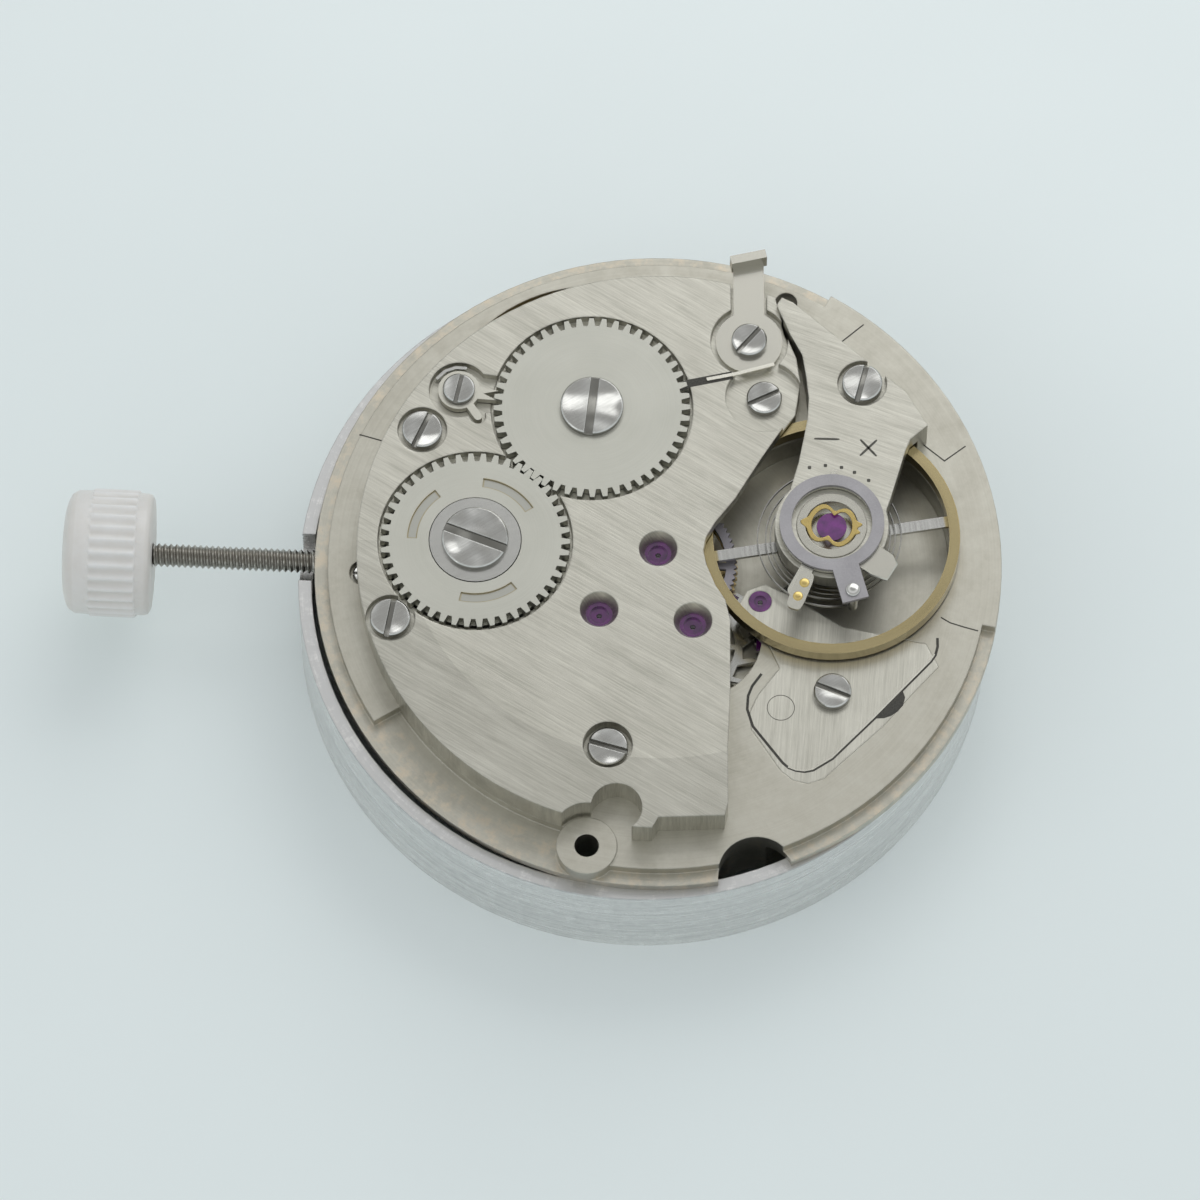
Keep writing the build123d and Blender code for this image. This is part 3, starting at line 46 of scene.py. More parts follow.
MM = 0.001
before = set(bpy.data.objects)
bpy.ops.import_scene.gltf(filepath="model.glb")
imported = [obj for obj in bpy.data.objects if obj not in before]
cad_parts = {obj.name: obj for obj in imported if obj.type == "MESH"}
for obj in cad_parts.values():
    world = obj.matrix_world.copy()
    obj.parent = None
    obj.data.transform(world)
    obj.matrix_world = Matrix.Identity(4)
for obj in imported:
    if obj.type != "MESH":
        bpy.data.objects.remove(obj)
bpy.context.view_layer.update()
STEM_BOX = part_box("winding_stem")
CROWN_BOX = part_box("crown")
RING_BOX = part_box("casing_ring")
STEM_Z = (CROWN_BOX[0].z + CROWN_BOX[1].z) / 2
# How far a drawn line reaches into the piece it lies on
SUNK = 0.03 * MM
# The train bridge is frosted outside a circle about this axis and in front of a line, and
# slopes down there in microns a millimetre. All but the axis is in millimetres, as the
# finishes measure in them
FACET_AXIS = (0.03 * MM, 1.17 * MM, 0.0)
FACET_RADIUS, FACET_END_Y, FACET_SLOPE = 9.62, -0.2, 95.0
KIDNEY_RADIUS = 2.35
BALANCE_RIM = 4.32
THREAD_ROOT = 0.36
FLUTE_FLOOR = 2.26
SCREW_RADIUS, SCREW_SPACE = 1.4, 2.2


def centre_of(node):
    """The middle of a node's box in plan, at the height of the origin."""
    low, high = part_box(node)
    return ((low.x + high.x) / 2, (low.y + high.y) / 2, 0.0)


BALANCE = centre_of("balance_wheel")


def length(name, default, description):
    """A length that the user can change, in metres."""
    return bpy.props.FloatProperty(name=name, description=description, default=default,
                                   subtype="DISTANCE", unit="LENGTH", precision=6)


def share(name, default, description, top):
    """A plain factor from nothing to a top value."""
    return bpy.props.FloatProperty(name=name, description=description, default=default, min=0.0,
                                   max=top, subtype="FACTOR")


def colour(name, default, description):
    """A colour that the user can change."""
    return bpy.props.FloatVectorProperty(name=name, description=description, default=default,
                                         size=3, min=0.0, max=1.0, subtype="COLOR")


def turn(name, default, description):
    """An angle that the user can change, given here in degrees."""
    return bpy.props.FloatProperty(name=name, description=description, default=radians(default),
                                   subtype="ANGLE", unit="ROTATION")


class StemSizes(bpy.types.PropertyGroup):
    """The threaded winding stem."""
    thread_radius: length("Thread radius", 0.45 * MM, "Radius over the thread's crests")
    thread_depth: length("Thread depth", 0.1 * MM, "Depth from crest to root")
    thread_pitch: length("Thread pitch", 0.221 * MM, "Distance from one crest to the next")
    bearing_radius: length("Bearing radius", 0.6 * MM, "Radius of the plain bearings")
    groove_radius: length("Groove radius", 0.3 * MM, "Radius of the groove for the lever's pin")
    square_side: length("Square side", 0.62 * MM, "Side of the square that carries the clutch")
    pilot_radius: length("Pilot radius", 0.24 * MM, "Radius of the inner pilot")


class CrownSizes(bpy.types.PropertyGroup):
    """The fluted plastic crown."""
    flutes: bpy.props.IntProperty(name="Flutes", description="Grooves round the band", default=30,
                                  min=8, max=80)
    flute_depth: length("Flute depth", 0.13 * MM, "Depth of the grooves")
    cap_length: length("Cap length", 1.05 * MM, "Plain domed length at the outer end")
    collar_length: length("Collar length", 0.55 * MM, "Plain length at the inner end")
    bore_depth: length("Bore depth", 2.2 * MM, "Depth of the hole for the stem")


class SpringSizes(bpy.types.PropertyGroup):
    """The hairspring and the mainspring, both wound from half turns."""
    hairspring_start: length("Hairspring start", 0.6 * MM, "Radius at the collet")
    hairspring_pitch: length("Hairspring pitch", 0.178 * MM, "Distance between turns")
    hairspring_step: length("Outer step", 0.15 * MM, "Growth of each of the last half turns")
    hairspring_thickness: length("Hairspring thickness", 0.036 * MM, "Thickness of the ribbon")
    mainspring_start: length("Mainspring start", 1.005 * MM, "Radius at the arbor's hub")
    mainspring_pitch: length("Mainspring pitch", 0.3418 * MM, "Distance between turns")
    mainspring_thickness: length("Mainspring thickness", 0.085 * MM, "Thickness of the ribbon")


class FinishColours(bpy.types.PropertyGroup):
    """Base colours and brushing of the metals, stones and plastic."""
    nickel: colour("Nickel", (0.55, 0.54, 0.485), "Plated bridges and plate")
    steel: colour("Steel", (0.58, 0.58, 0.56), "Polished screws and arbors")
    satin: colour("Satin steel", (0.50, 0.50, 0.455), "Winding wheels")
    grey: colour("Grey steel", (0.30, 0.29, 0.315), "Stud carrier and seconds wheel")
    brass: colour("Brass", (0.66, 0.52, 0.27), "Train wheels and barrel")
    gilt: colour("Gilt", (0.50, 0.42, 0.235), "Balance rim")
    gold: colour("Gold", (0.62, 0.48, 0.19), "Shock springs and pin heads")
    ruby: colour("Ruby", (0.085, 0.008, 0.105), "Jewels")
    ring: colour("Ring", (0.88, 0.87, 0.85), "Casing ring")
    plastic: colour("Plastic", (0.735, 0.725, 0.70), "Crown")
    bridge_brush: turn("Bridge brushing", -29.0, "Direction of the lines on the train bridge")
    cock_brush: turn("Cock brushing", -18.0, "Direction of the lines on the balance cock")


class StageSettings(bpy.types.PropertyGroup):
    """Floor, lamps and camera."""
    floor: colour("Floor", (0.82, 0.885, 0.873), "Pale table top")
    lamp_strength: share("Lamp", 1.0, "Strength of the soft lamps", 4.0)
    sky_strength: share("Sky", 0.74, "Strength of the light from all round", 2.0)
    elevation: turn("Elevation", 66.24, "Camera angle above the table")
    azimuth: turn("Azimuth", -2.74, "Camera turn about the vertical")
    distance: length("Distance", 0.4, "From the camera to the hand axis")
    view_width: length("View width", 45.15 * MM, "Width of the picture at the hand axis")
    shift_right: length("Shift right", 2.157 * MM, "Hand axis to the right of the middle")
    shift_up: length("Shift up", -0.467 * MM, "Hand axis above the middle")


# Surfaces

def added(name, data):
    """A new object in the scene."""
    made = bpy.data.objects.new(name, data)
    bpy.context.scene.collection.objects.link(made)
    return made


def closed_mesh(name, rings, capped=True, crease=35.0):
    """Joins closed rings of points (rows, around, 3) into a shell, fanned shut if capped.

    The signed volume of the shell is measured, and its faces are turned if it is negative.
    """
    rows, around = rings.shape[:2]
    here = np.arange(rows * around).reshape(rows, around)
    beside = np.roll(here, -1, axis=1)
    quads = np.stack([here[:-1], beside[:-1], beside[1:], here[1:]], -1).reshape(-1, 4)
    points = rings.reshape(-1, 3)
    fans = []
    for end, step in ((0, -1), (-1, 1)) if capped else ():
        fan = np.stack([here[end], beside[end], np.full(around, len(points))], -1)
        points = np.vstack([points, rings[end].mean(0)])
        fans.append(fan[:, ::step])
    triangles = np.vstack([quads[:, :3], quads[:, [0, 2, 3]]] + fans)
    a, b, c = (points[triangles[:, k]] for k in range(3))
    if np.einsum("ij,ij->i", a, np.cross(b, c)).sum() < 0:
        quads, fans = quads[:, ::-1], [fan[:, ::-1] for fan in fans]
    faces = quads.tolist() + [face for fan in fans for face in fan.tolist()]
    mesh = bpy.data.meshes.new(name)
    mesh.from_pydata(points.tolist(), [], faces)
    mesh.shade_smooth()
    mesh.set_sharp_from_angle(angle=radians(crease))
    return added(name, mesh)


def round_stem(x, radius):
    """Points of a body along the stem: at x, a ring whose radius is given for each angle."""
    angle = np.linspace(0, 2 * pi, radius.shape[1], endpoint=False)
    return np.stack([np.broadcast_to(x[:, None], radius.shape), radius * np.cos(angle),
                     STEM_Z + radius * np.sin(angle)], -1)


def spiral(start, pitch, turns, outer_step):
    """Centre line and radii of a flat spiral of half-turn arcs.

    Half turn h is centred on the running sum of the growths with alternating sign, and its
    radius is the start plus all growths before it, so that each arc meets the one before.
    """
    halves = 2 * turns
    growth = np.where(np.arange(halves) < halves - 3, pitch / 2, outer_step)
    signs = np.where(np.arange(halves) % 2 == 0, 1.0, -1.0)
    radius = start + np.concatenate([[0], np.cumsum(growth)[:-1]])
    middle = np.concatenate([[0], np.cumsum(growth * signs)[:-1]])
    part = np.linspace(0, pi, 48, endpoint=False)
    angle = (np.arange(halves)[:, None] * pi + part).ravel()
    angle = np.append(angle, halves * pi)
    half = np.minimum((angle / pi + 1e-9).astype(int), halves - 1)
    return middle[half], radius[half], angle


def placed(at, x, y, z, angle):
    """Points in plan, turned by an angle and moved to a place, at a height."""
    c, s = cos(angle), sin(angle)
    return np.stack([at[0] + c * x - s * y, at[1] + s * x + c * y,
                     np.broadcast_to(z, x.shape)], -1)


def upright(at, section, around):
    """Rings about an upright axis, from pairs of a radius, plain or by angle, and a height."""
    angle = np.linspace(0, 2 * pi, around, endpoint=False)
    return np.stack([placed(at, r * np.cos(angle), r * np.sin(angle), z, 0.0)
                     for r, z in section])


def ribbon(name, at, line, thickness, z0, z1, start_angle, body):
    """A spiral strip: four corners of a thin upright rectangle carried along the line."""
    middle, radius, angle = line
    corners = np.array([(-0.5, 0), (0.5, 0), (0.5, 1), (-0.5, 1)])
    reach = radius[:, None] + corners[:, 0] * thickness
    x = middle[:, None] + reach * np.cos(angle)[:, None]
    y = reach * np.sin(angle)[:, None]
    rings = placed(at, x, y, z0 + corners[:, 1] * (z1 - z0), start_angle)
    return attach(closed_mesh(name, rings), body)


def flat_band(name, at, z0, z1, inner, outer, bevel, body):
    """A flat ring whose inner and outer radii vary with the angle, with bevelled edges."""
    section = ((inner + bevel, z1), (outer - bevel, z1), (outer, z1 - bevel), (outer, z0),
               (inner, z0), (inner, z1 - bevel), (inner + bevel, z1))
    rings = upright(at, section, len(inner))
    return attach(closed_mesh(name, rings, capped=False), body)


def dome(name, at, z0, radius, height, body):
    """A low rounded head: radius times cosine and height times sine of a rising angle."""
    rise = np.linspace(0, pi / 2 * 0.98, 6)
    r = np.concatenate([[radius], radius * np.cos(rise)])
    z = np.concatenate([[z0 - height], z0 + height * np.sin(rise)])
    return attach(closed_mesh(name, upright(at, zip(r, z), 32)), body)


def pad(name, at, size, degrees, z0, z1, body):
    """A rounded bar lying flat: a superellipse of a length and width in millimetres."""
    t = np.linspace(0, 2 * pi, 48, endpoint=False)
    x, y = (side * MM / 2 * np.sign(part) * np.abs(part) ** 0.5
            for side, part in zip(size, (np.cos(t), np.sin(t))))
    rings = np.stack([placed(at, x, y, z, radians(degrees)) for z in (z0, z1)])
    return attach(closed_mesh(name, rings), body)


def strip(name, places, width, top, lift):
    """A flat band let into a top: a rectangle carried along places and mitred at each bend."""
    z0, z1 = top - SUNK, top + lift * MM
    line = np.array(places, dtype=float) * MM
    step = np.diff(line, axis=0)
    step /= np.linalg.norm(step, axis=1)[:, None]
    before = np.vstack([step[:1], step])
    along = before + np.vstack([step, step[-1:]])
    along /= np.linalg.norm(along, axis=1)[:, None]
    side = np.stack([-along[:, 1], along[:, 0]], -1)
    side *= width * MM / 2 / np.maximum(0.4, (along * before).sum(1))[:, None]
    rings = np.stack([np.column_stack([line + side * part, np.full(len(line), z)])
                      for part, z in ((-1, z0), (1, z0), (1, z1), (-1, z1))], axis=1)
    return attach(closed_mesh(name, rings), "base")


def bevelled(name, places, z0, z1, bevel, body):
    """A flat piece: its outline at foot and shoulder, drawn in towards the middle on top."""
    rim = np.array(places)
    inward = rim.mean(0) - rim
    inward /= np.linalg.norm(inward, axis=1)[:, None]
    rings = np.stack([np.column_stack([rim + inward * inset, np.full(len(rim), z)])
                      for inset, z in ((0.0, z0), (0.0, z1 - bevel), (bevel, z1))])
    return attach(closed_mesh(name, rings), body)


# Finishes

class Finish:
    """A material on Object coordinates in millimetres, built up node by node."""

    def __init__(self, name, base, roughness, metallic=1.0):
        """Starts from one shader with its constants set on its own sockets."""
        self.material = bpy.data.materials.new(name)
        self.material.use_nodes = True
        self.material.diffuse_color = (*base, 1.0)
        self.tree = self.material.node_tree
        self.shader = self.tree.nodes["Principled BSDF"]
        self.base = tuple(base)
        self.shader.inputs["Base Color"].default_value = (*base, 1.0)
        self.shader.inputs["Roughness"].default_value = roughness
        self.shader.inputs["Metallic"].default_value = metallic
        self.object = self.node("ShaderNodeTexCoord", {}).outputs["Object"]

    def node(self, kind, inputs, **settings):
        """A new node with its settings, and a link or a constant at each input."""
        made = self.tree.nodes.new(kind)
        for key, value in settings.items():
            setattr(made, key, value)
        for key, value in inputs.items():
            self.link(value, made.inputs[key])
        return made

    def link(self, source, target):
        """Joins two sockets, or writes a constant into the second."""
        if isinstance(source, bpy.types.NodeSocket):
            self.tree.links.new(source, target)
        else:
            target.default_value = source

    def math(self, operation, a, b=0.0, clamp=False):
        """One sum, kept between nothing and one if clamped."""
        made = self.node("ShaderNodeMath", {0: a, 1: b}, operation=operation, use_clamp=clamp)
        return made.outputs[0]

    def plus(self, a, b):
        """Two values added."""
        return self.math("ADD", a, b)

    def minus(self, a, b):
        """The first value less the second."""
        return self.math("SUBTRACT", a, b)

    def times(self, a, b, clamp=False):
        """Two values multiplied."""
        return self.math("MULTIPLY", a, b, clamp)

    def rise(self, value, start, gain):
        """Nothing up to a start, then growing with a gain, and never over one."""
        return self.times(self.minus(value, start), gain, clamp=True)

    def blend(self, *parts):
        """The sum of values, each times its weight."""
        total = self.times(*parts[0])
        for value, weight in parts[1:]:
            total = self.plus(total, self.times(value, weight))
        return total

    def distance(self, a, b):
        """The root of the sum of two squares."""
        return self.math("SQRT", self.plus(self.times(a, a), self.times(b, b)))

    def mapped(self, angle=0.0, scale=(1.0, 1.0, 1.0), at=(0.0, 0.0, 0.0)):
        """Object coordinates in millimetres about a place, turned and stretched."""
        inputs = {"Vector": self.object, "Location": at, "Rotation": (0, 0, angle),
                  "Scale": tuple(MM / part for part in scale)}
        return self.node("ShaderNodeMapping", inputs, vector_type="TEXTURE").outputs[0]

    def split(self, **place):
        """The three coordinates in millimetres, about a place."""
        return self.node("ShaderNodeSeparateXYZ", {0: self.mapped(**place)}).outputs

    def joined(self, *parts):
        """A vector from up to three values, each times its scale."""
        inputs = {index: self.times(*part) for index, part in enumerate(parts)}
        return self.node("ShaderNodeCombineXYZ", inputs).outputs[0]

    def noise(self, scale, detail, rough, vector=None):
        """Soft noise from nothing to one, over a vector or else the plain coordinates."""
        inputs = {"Vector": vector or self.mapped(), "Scale": scale, "Detail": detail,
                  "Roughness": rough}
        return self.node("ShaderNodeTexNoise", inputs).outputs["Fac"]

    def polar(self, at):
        """Distance from an upright axis, angle about it and height, in millimetres and radians."""
        x, y, z = self.split(at=at)
        return self.distance(x, y), self.math("ARCTAN2", y, x), z

    def from_stem(self):
        """Distance from the stem's axis in millimetres."""
        _, y, z = self.split(at=(0, 0, STEM_Z))
        return self.distance(y, z)

    def spread(self, value, low, high):
        """Maps a noise value from its usual 0.3 to 0.7 onto a range."""
        inputs = {"Value": value, "From Min": 0.3, "From Max": 0.7, "To Min": low,
                  "To Max": high}
        return self.node("ShaderNodeMapRange", inputs).outputs[0]

    def mix(self, factor, first, second):
        """Gives the shader a mix of two colours."""
        mixed = self.node("ShaderNodeMix", {0: factor, 6: first, 7: second}, data_type="RGBA")
        self.link(mixed.outputs[2], self.shader.inputs["Base Color"])

    def tint(self, value, dark, light):
        """Varies the base colour between two strengths of itself."""
        self.mix(value, *((*(min(1.0, part * gain) for part, gain in zip(self.base, strength)),
                           1.0) for strength in (dark, light)))

    def overlay(self, mask, tone):
        """Lays another colour over the base colour where the mask is one."""
        under = self.shader.inputs["Base Color"].links[0].from_socket
        self.mix(mask, under, (*tone, 1.0))

    def between(self, value, low, high, soft):
        """One between two values, falling to nothing over a short way inside them."""
        return self.times(self.rise(value, low, 1 / soft), self.rise(high, value, 1 / soft))

    def polish(self, value, low, high):
        """Varies the roughness with a noise value."""
        self.link(self.spread(value, low, high), self.shader.inputs["Roughness"])

    def vary(self, tone, dark, light, rough, smooth):
        """Varies colour and roughness together with a noise value."""
        self.tint(self.spread(tone, 0.0, 1.0), dark, light)
        self.polish(tone, rough, smooth)

    def finish(self, edge, *relief):
        """Hands out the material: edges softened over millimetres, then heights in microns."""
        normal = self.shader.inputs["Normal"]
        if relief:
            height = self.blend(*((value, microns * MM * MM) for value, microns in relief))
            inputs = {"Strength": 1.0, "Distance": 1.0, "Height": height}
            bump = self.node("ShaderNodeBump", inputs)
            self.link(bump.outputs[0], normal)
            normal = bump.inputs["Normal"]
        if edge:
            soft = self.node("ShaderNodeBevel", {"Radius": edge * MM}, samples=4)
            self.link(soft.outputs[0], normal)
        return self.material


def brushed_nickel(name, base, angle, worn=0.0, facet=False):
    """Plated bridge: long fine lines one way, cloudy tarnish, and a frosted outer facet."""
    made = Finish(name, base, 0.34)
    lines = made.noise(1.0, 5.0, 0.72, made.mapped(angle, (0.55, 17.0, 0.55)))
    broad = made.noise(1.0, 3.0, 0.6, made.mapped(angle, (0.22, 2.4, 0.3)))
    clouds = made.noise(0.38, 4.0, 0.6)
    grain = made.noise(26.0, 2.0, 0.5)
    tone = made.blend((lines, 0.55), (broad, 0.25), (clouds, 0.2 + worn))
    relief = [(lines, 5.0), (grain, 1.0)]
    if facet:
        radius, _, _ = made.polar(FACET_AXIS)
        front = made.math("LESS_THAN", made.split()[1], FACET_END_Y)
        outside = made.math("MAXIMUM", made.times(made.minus(radius, FACET_RADIUS), front), 0.0)
        frosted = made.times(outside, 9.0, clamp=True)
        surface = made.blend((lines, made.minus(1.0, frosted)), (grain, frosted))
        relief = [(outside, -FACET_SLOPE), (surface, 5.0), (grain, 1.0)]
    made.vary(tone, (0.62, 0.615, 0.59), (1.22, 1.22, 1.21), 0.42, 0.28)
    return made.finish(0.08, *relief)


def plate_nickel(name, base):
    """Main plate: satin with stains, small pits, faint turning rings and a worn rim."""
    made = Finish(name, base, 0.36)
    clouds = made.noise(0.55, 6.0, 0.65)
    stains = made.noise(1.9, 5.0, 0.7, made.mapped(at=(3 * MM, 1 * MM, 0)))
    radius, angle, z = made.polar((0, 0, 0))
    turned = made.noise(1.0, 3.0, 0.6, made.joined((radius, 14.0), (angle, 1.0), (z, 2.0)))
    grain = made.noise(22.0, 2.0, 0.5)
    tone = made.blend((clouds, 0.5), (stains, 0.3), (turned, 0.2))
    made.vary(tone, (0.72, 0.70, 0.66), (1.06, 1.06, 1.04), 0.46, 0.26)
    rim = made.times(made.between(radius, 11.5, 13.5, 0.15), made.between(z, 2.0, 4.22, 0.05))
    made.overlay(made.times(rim, made.rise(stains, 0.46, 4.0)), (0.62, 0.545, 0.43))
    return made.finish(0.07, (turned, 1.1), (stains, 4.0), (grain, 0.7))


def satin_wheel(name, base, at, roughness=0.42, kidneys=()):
    """Flat-lapped wheel: even satin with faint rings about its own axis, and shallow kidneys drawn
    only in painted shade, a dark outline at their walls and a darker floor.
    """
    made = Finish(name, base, roughness)
    radius, angle, _ = made.polar(at)
    rings = made.noise(1.0, 3.0, 0.6, made.joined((radius, 20.0), (angle, 0.6)))
    grain = made.noise(30.0, 3.0, 0.55)
    clouds = made.noise(0.5, 3.0, 0.5)
    tone = made.blend((rings, 0.3), (grain, 0.3), (clouds, 0.4))
    made.vary(tone, (0.92, 0.92, 0.90), (1.06, 1.06, 1.05), roughness + 0.05, roughness - 0.06)
    # Painted shade for each kidney: a dark brown outline where its walls fall in shade, and a
    # floor painted at 0.8 of the base.
    floor = scaled(base, 0.8)
    for middle in kidneys:
        x, y, _ = made.split(angle=radians(middle), at=at)
        away = made.math("ABSOLUTE", made.math("ARCTAN2", y, x))
        for reach, half, shade, painted_shade_tone in ((0.20, 0.462, 0.8, (0.36, 0.31, 0.19)),
                                            (0.15, 0.44, 1.0, floor)):
            ring = made.between(radius, KIDNEY_RADIUS - reach, KIDNEY_RADIUS + reach, 0.02)
            inside = made.times(ring, made.rise(half, away, 60.0))
            made.overlay(made.times(inside, shade), painted_shade_tone)
    return made.finish(0.025, (grain, 1.2))


def polished(name, base, roughness, angle=0.35, edge=0.03):
    """Polished steel or gilt: faint lapping lines and soft smudges."""
    made = Finish(name, base, roughness)
    lines = made.noise(1.0, 2.0, 0.6, made.mapped(angle, (0.7, 12.0, 0.7)))
    tone = made.blend((lines, 0.5), (made.noise(1.1, 4.0, 0.6), 0.5))
    made.vary(tone, (0.97, 0.97, 0.96), (1.02, 1.02, 1.02), roughness + 0.04, roughness - 0.02)
    return made.finish(edge, (lines, 0.04))


def screw_finish(name, base, tops, tilt):
    """Polished screw heads: lapping lines, painted shade on the slot floors and head sides below
    each top, and a slight lean.
    """
    made = Finish(name, base, 0.12)
    x, y, z = made.split()
    lines = made.noise(1.0, 4.0, 0.65, made.mapped(radians(35), (0.8, 14.0, 0.8)))
    tone = made.blend((lines, 0.5), (made.noise(1.3, 4.0, 0.6), 0.5))
    made.vary(tone, (0.80, 0.80, 0.79), (1.16, 1.16, 1.16), 0.2, 0.08)
    first_top = tops[0][2]
    depth = made.minus(first_top - 0.035, z)
    for place_x, place_y, top in tops[1:]:
        radius, _, _ = made.polar((place_x * MM, place_y * MM, 0.0))
        under_head = made.math("LESS_THAN", radius, SCREW_RADIUS)
        depth = made.plus(depth, made.times(under_head, top - first_top))
    # Painted shade: darkens whatever lies more than 0.035 mm below each head's top, which is the
    # slot floors and the heads' sides.
    painted_slot_shade = made.times(depth, 60.0, clamp=True)
    made.overlay(made.times(painted_slot_shade, 0.7), (0.13, 0.125, 0.105))
    return made.finish(0.06, (lines, 0.9), (made.noise(0.9, 0.0, 0.5), 130.0), (x, tilt[0]),
                       (y, tilt[1]))


def balance_gilt(name, rim_tone, arm_tone, at):
    """Balance: a pale gilt rim, and bright arms inside it."""
    made = Finish(name, rim_tone, 0.2)
    radius, angle, _ = made.polar(at)
    lines = made.noise(1.0, 3.0, 0.5, made.joined((radius, 9.0), (angle, 1.0)))
    made.vary(lines, (0.90, 0.90, 0.88), (1.08, 1.08, 1.08), 0.24, 0.14)
    made.overlay(made.rise(BALANCE_RIM, radius, 12.0), arm_tone)
    return made.finish(0.02)


def matt_steel(name, base):
    """Dull grey steel with a fine even grain."""
    made = Finish(name, base, 0.5, metallic=0.7)
    grain = made.noise(18.0, 4.0, 0.6)
    tone = made.blend((grain, 0.5), (made.noise(0.9, 3.0, 0.5), 0.5))
    made.vary(tone, (0.88, 0.87, 0.88), (1.10, 1.09, 1.10), 0.58, 0.42)
    return made.finish(0.02, (grain, 1.5))


def ruby(name, base):
    """Synthetic ruby: deep stone with a glassy coat and paler clouds inside."""
    made = Finish(name, base, 0.08, metallic=0.0)
    made.shader.inputs["IOR"].default_value = 1.77
    made.shader.inputs["Coat Weight"].default_value = 1.0
    made.shader.inputs["Coat Roughness"].default_value = 0.03
    made.vary(made.noise(2.6, 3.0, 0.5), (0.75, 0.8, 0.8), (1.9, 1.6, 1.8), 0.12, 0.05)
    return made.finish(0.03)


def turned_ring(name, base, at):
    """Casing ring: bright bar stock with turning lines round the wall and a scuffed rim."""
    made = Finish(name, base, 0.24)
    radius, angle, z = made.polar(at)
    lines = made.noise(1.0, 6.0, 0.7, made.joined((angle, 2.2), (z, 7.0), (radius, 7.0)))
    scuffs = made.noise(1.0, 5.0, 0.75, made.joined((angle, 26.0), (z, 2.2), (radius, 1.0)))
    rim = made.rise(z, RING_BOX[1].z / MM - 0.16, 7.0)
    dark = made.times(rim, made.minus(0.95, scuffs))
    tone = made.blend((lines, 0.65), (scuffs, 0.35), (dark, -0.5))
    made.vary(tone, (0.62, 0.63, 0.64), (1.08, 1.08, 1.08), 0.42, 0.18)
    return made.finish(0.06, (lines, 2.5), (made.times(scuffs, rim), 9.0))


def threaded_steel(name, base):
    """Stem steel, with painted shade darkening the thread's roots."""
    made = Finish(name, base, 0.3)
    grain = made.noise(9.0, 5.0, 0.7)
    # Painted shade: the thread's roots darken towards 0.42 of the base, and the crests stay
    # bright.
    crest = made.rise(made.from_stem(), THREAD_ROOT, 10.0)
    made.tint(made.times(crest, made.plus(grain, 0.35)), (0.42, 0.40, 0.37), (0.98, 0.96, 0.92))
    made.polish(grain, 0.42, 0.24)
    return made.finish(0.0, (grain, 2.0))


def moulded_plastic(name, base):
    """White moulded crown: soft sheen, faint mottling and slightly warm painted shade in the flute
    floors and wherever the crown is narrower than them, as on the cap.
    """
    made = Finish(name, base, 0.38, metallic=0.0)
    made.shader.inputs["Subsurface Weight"].default_value = 0.12
    made.shader.inputs["Subsurface Radius"].default_value = (1.0, 0.9, 0.8)
    made.shader.inputs["Subsurface Scale"].default_value = 0.0004
    mottle = made.noise(1.2, 5.0, 0.65)
    # Painted shade: everything nearer the stem's axis than the flute floor, the flutes and most of
    # the cap, is tinted darker and warmer.
    outside = made.rise(made.from_stem(), FLUTE_FLOOR, 8.0)
    raised = made.plus(made.times(outside, 0.55), 0.45)
    tone = made.times(raised, made.plus(mottle, 0.45), clamp=True)
    made.tint(tone, (0.86, 0.83, 0.78), (1.05, 1.06, 1.07))
    made.polish(mottle, 0.46, 0.3)
    return made.finish(0.0, (made.noise(14.0, 3.0, 0.6), 1.6))


def shade_sheet(name, base):
    """A dull dark sheet of painted shade, for the floors of engraved marks, grooves, gaps and
    holes.
    """
    made = Finish(name, base, 0.6, metallic=0.3)
    made.vary(made.noise(20.0, 3.0, 0.6), (0.7, 0.7, 0.7), (1.4, 1.35, 1.25), 0.7, 0.5)
    return made.finish(0.0)


def dress(material, *names):
    """Gives CAD nodes a material in all their slots."""
    for name in names:
        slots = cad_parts[name].data.materials
        if not slots:
            slots.append(material)
        for index in range(len(slots)):
            slots[index] = material


def coated(piece, material):
    """Gives a drawn piece its material and hands it back."""
    piece.data.materials.append(material)
    return piece


def scaled(tone, strength):
    """A colour times a strength."""
    return tuple(strength * part for part in tone)


def by_balance(x, y):
    """A place in plan, from millimetres off the balance's axis."""
    return (BALANCE[0] + x * MM, BALANCE[1] + y * MM)


def screw_tops(node):
    """Place and top of each screw of a node, in millimetres: its vertices by nearness."""
    left = np.array([vertex.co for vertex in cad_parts[node].data.vertices]) / MM
    tops = []
    while len(left):
        near = np.linalg.norm(left[:, :2] - left[0, :2], axis=1) < SCREW_SPACE
        low, high = left[near].min(0), left[near].max(0)
        tops.append((*(low + high)[:2] / 2, high[2]))
        left = left[~near]
    return tops


# Operators

class MOVEMENT_OT_plates(bpy.types.Operator):
    """Nickel finishes of the plate, the bridges and the casing ring"""
    bl_idname = "movement.plates"
    bl_label = "Plates and ring"

    def execute(self, context):
        """Dresses the flat pieces."""
        look = context.scene.movement_finish
        dress(plate_nickel("plate_nickel", look.nickel), "main_plate")
        dress(brushed_nickel("bridge_nickel", look.nickel, look.bridge_brush, facet=True),
              "train_bridge")
        dress(brushed_nickel("cock_nickel", look.nickel, look.cock_brush), "balance_cock")
        dress(brushed_nickel("pallet_nickel", look.nickel, radians(88), worn=0.1),
              "pallet_bridge")
        dress(turned_ring("ring_metal", look.ring, centre_of("casing_ring")), "casing_ring")
        return {"FINISHED"}


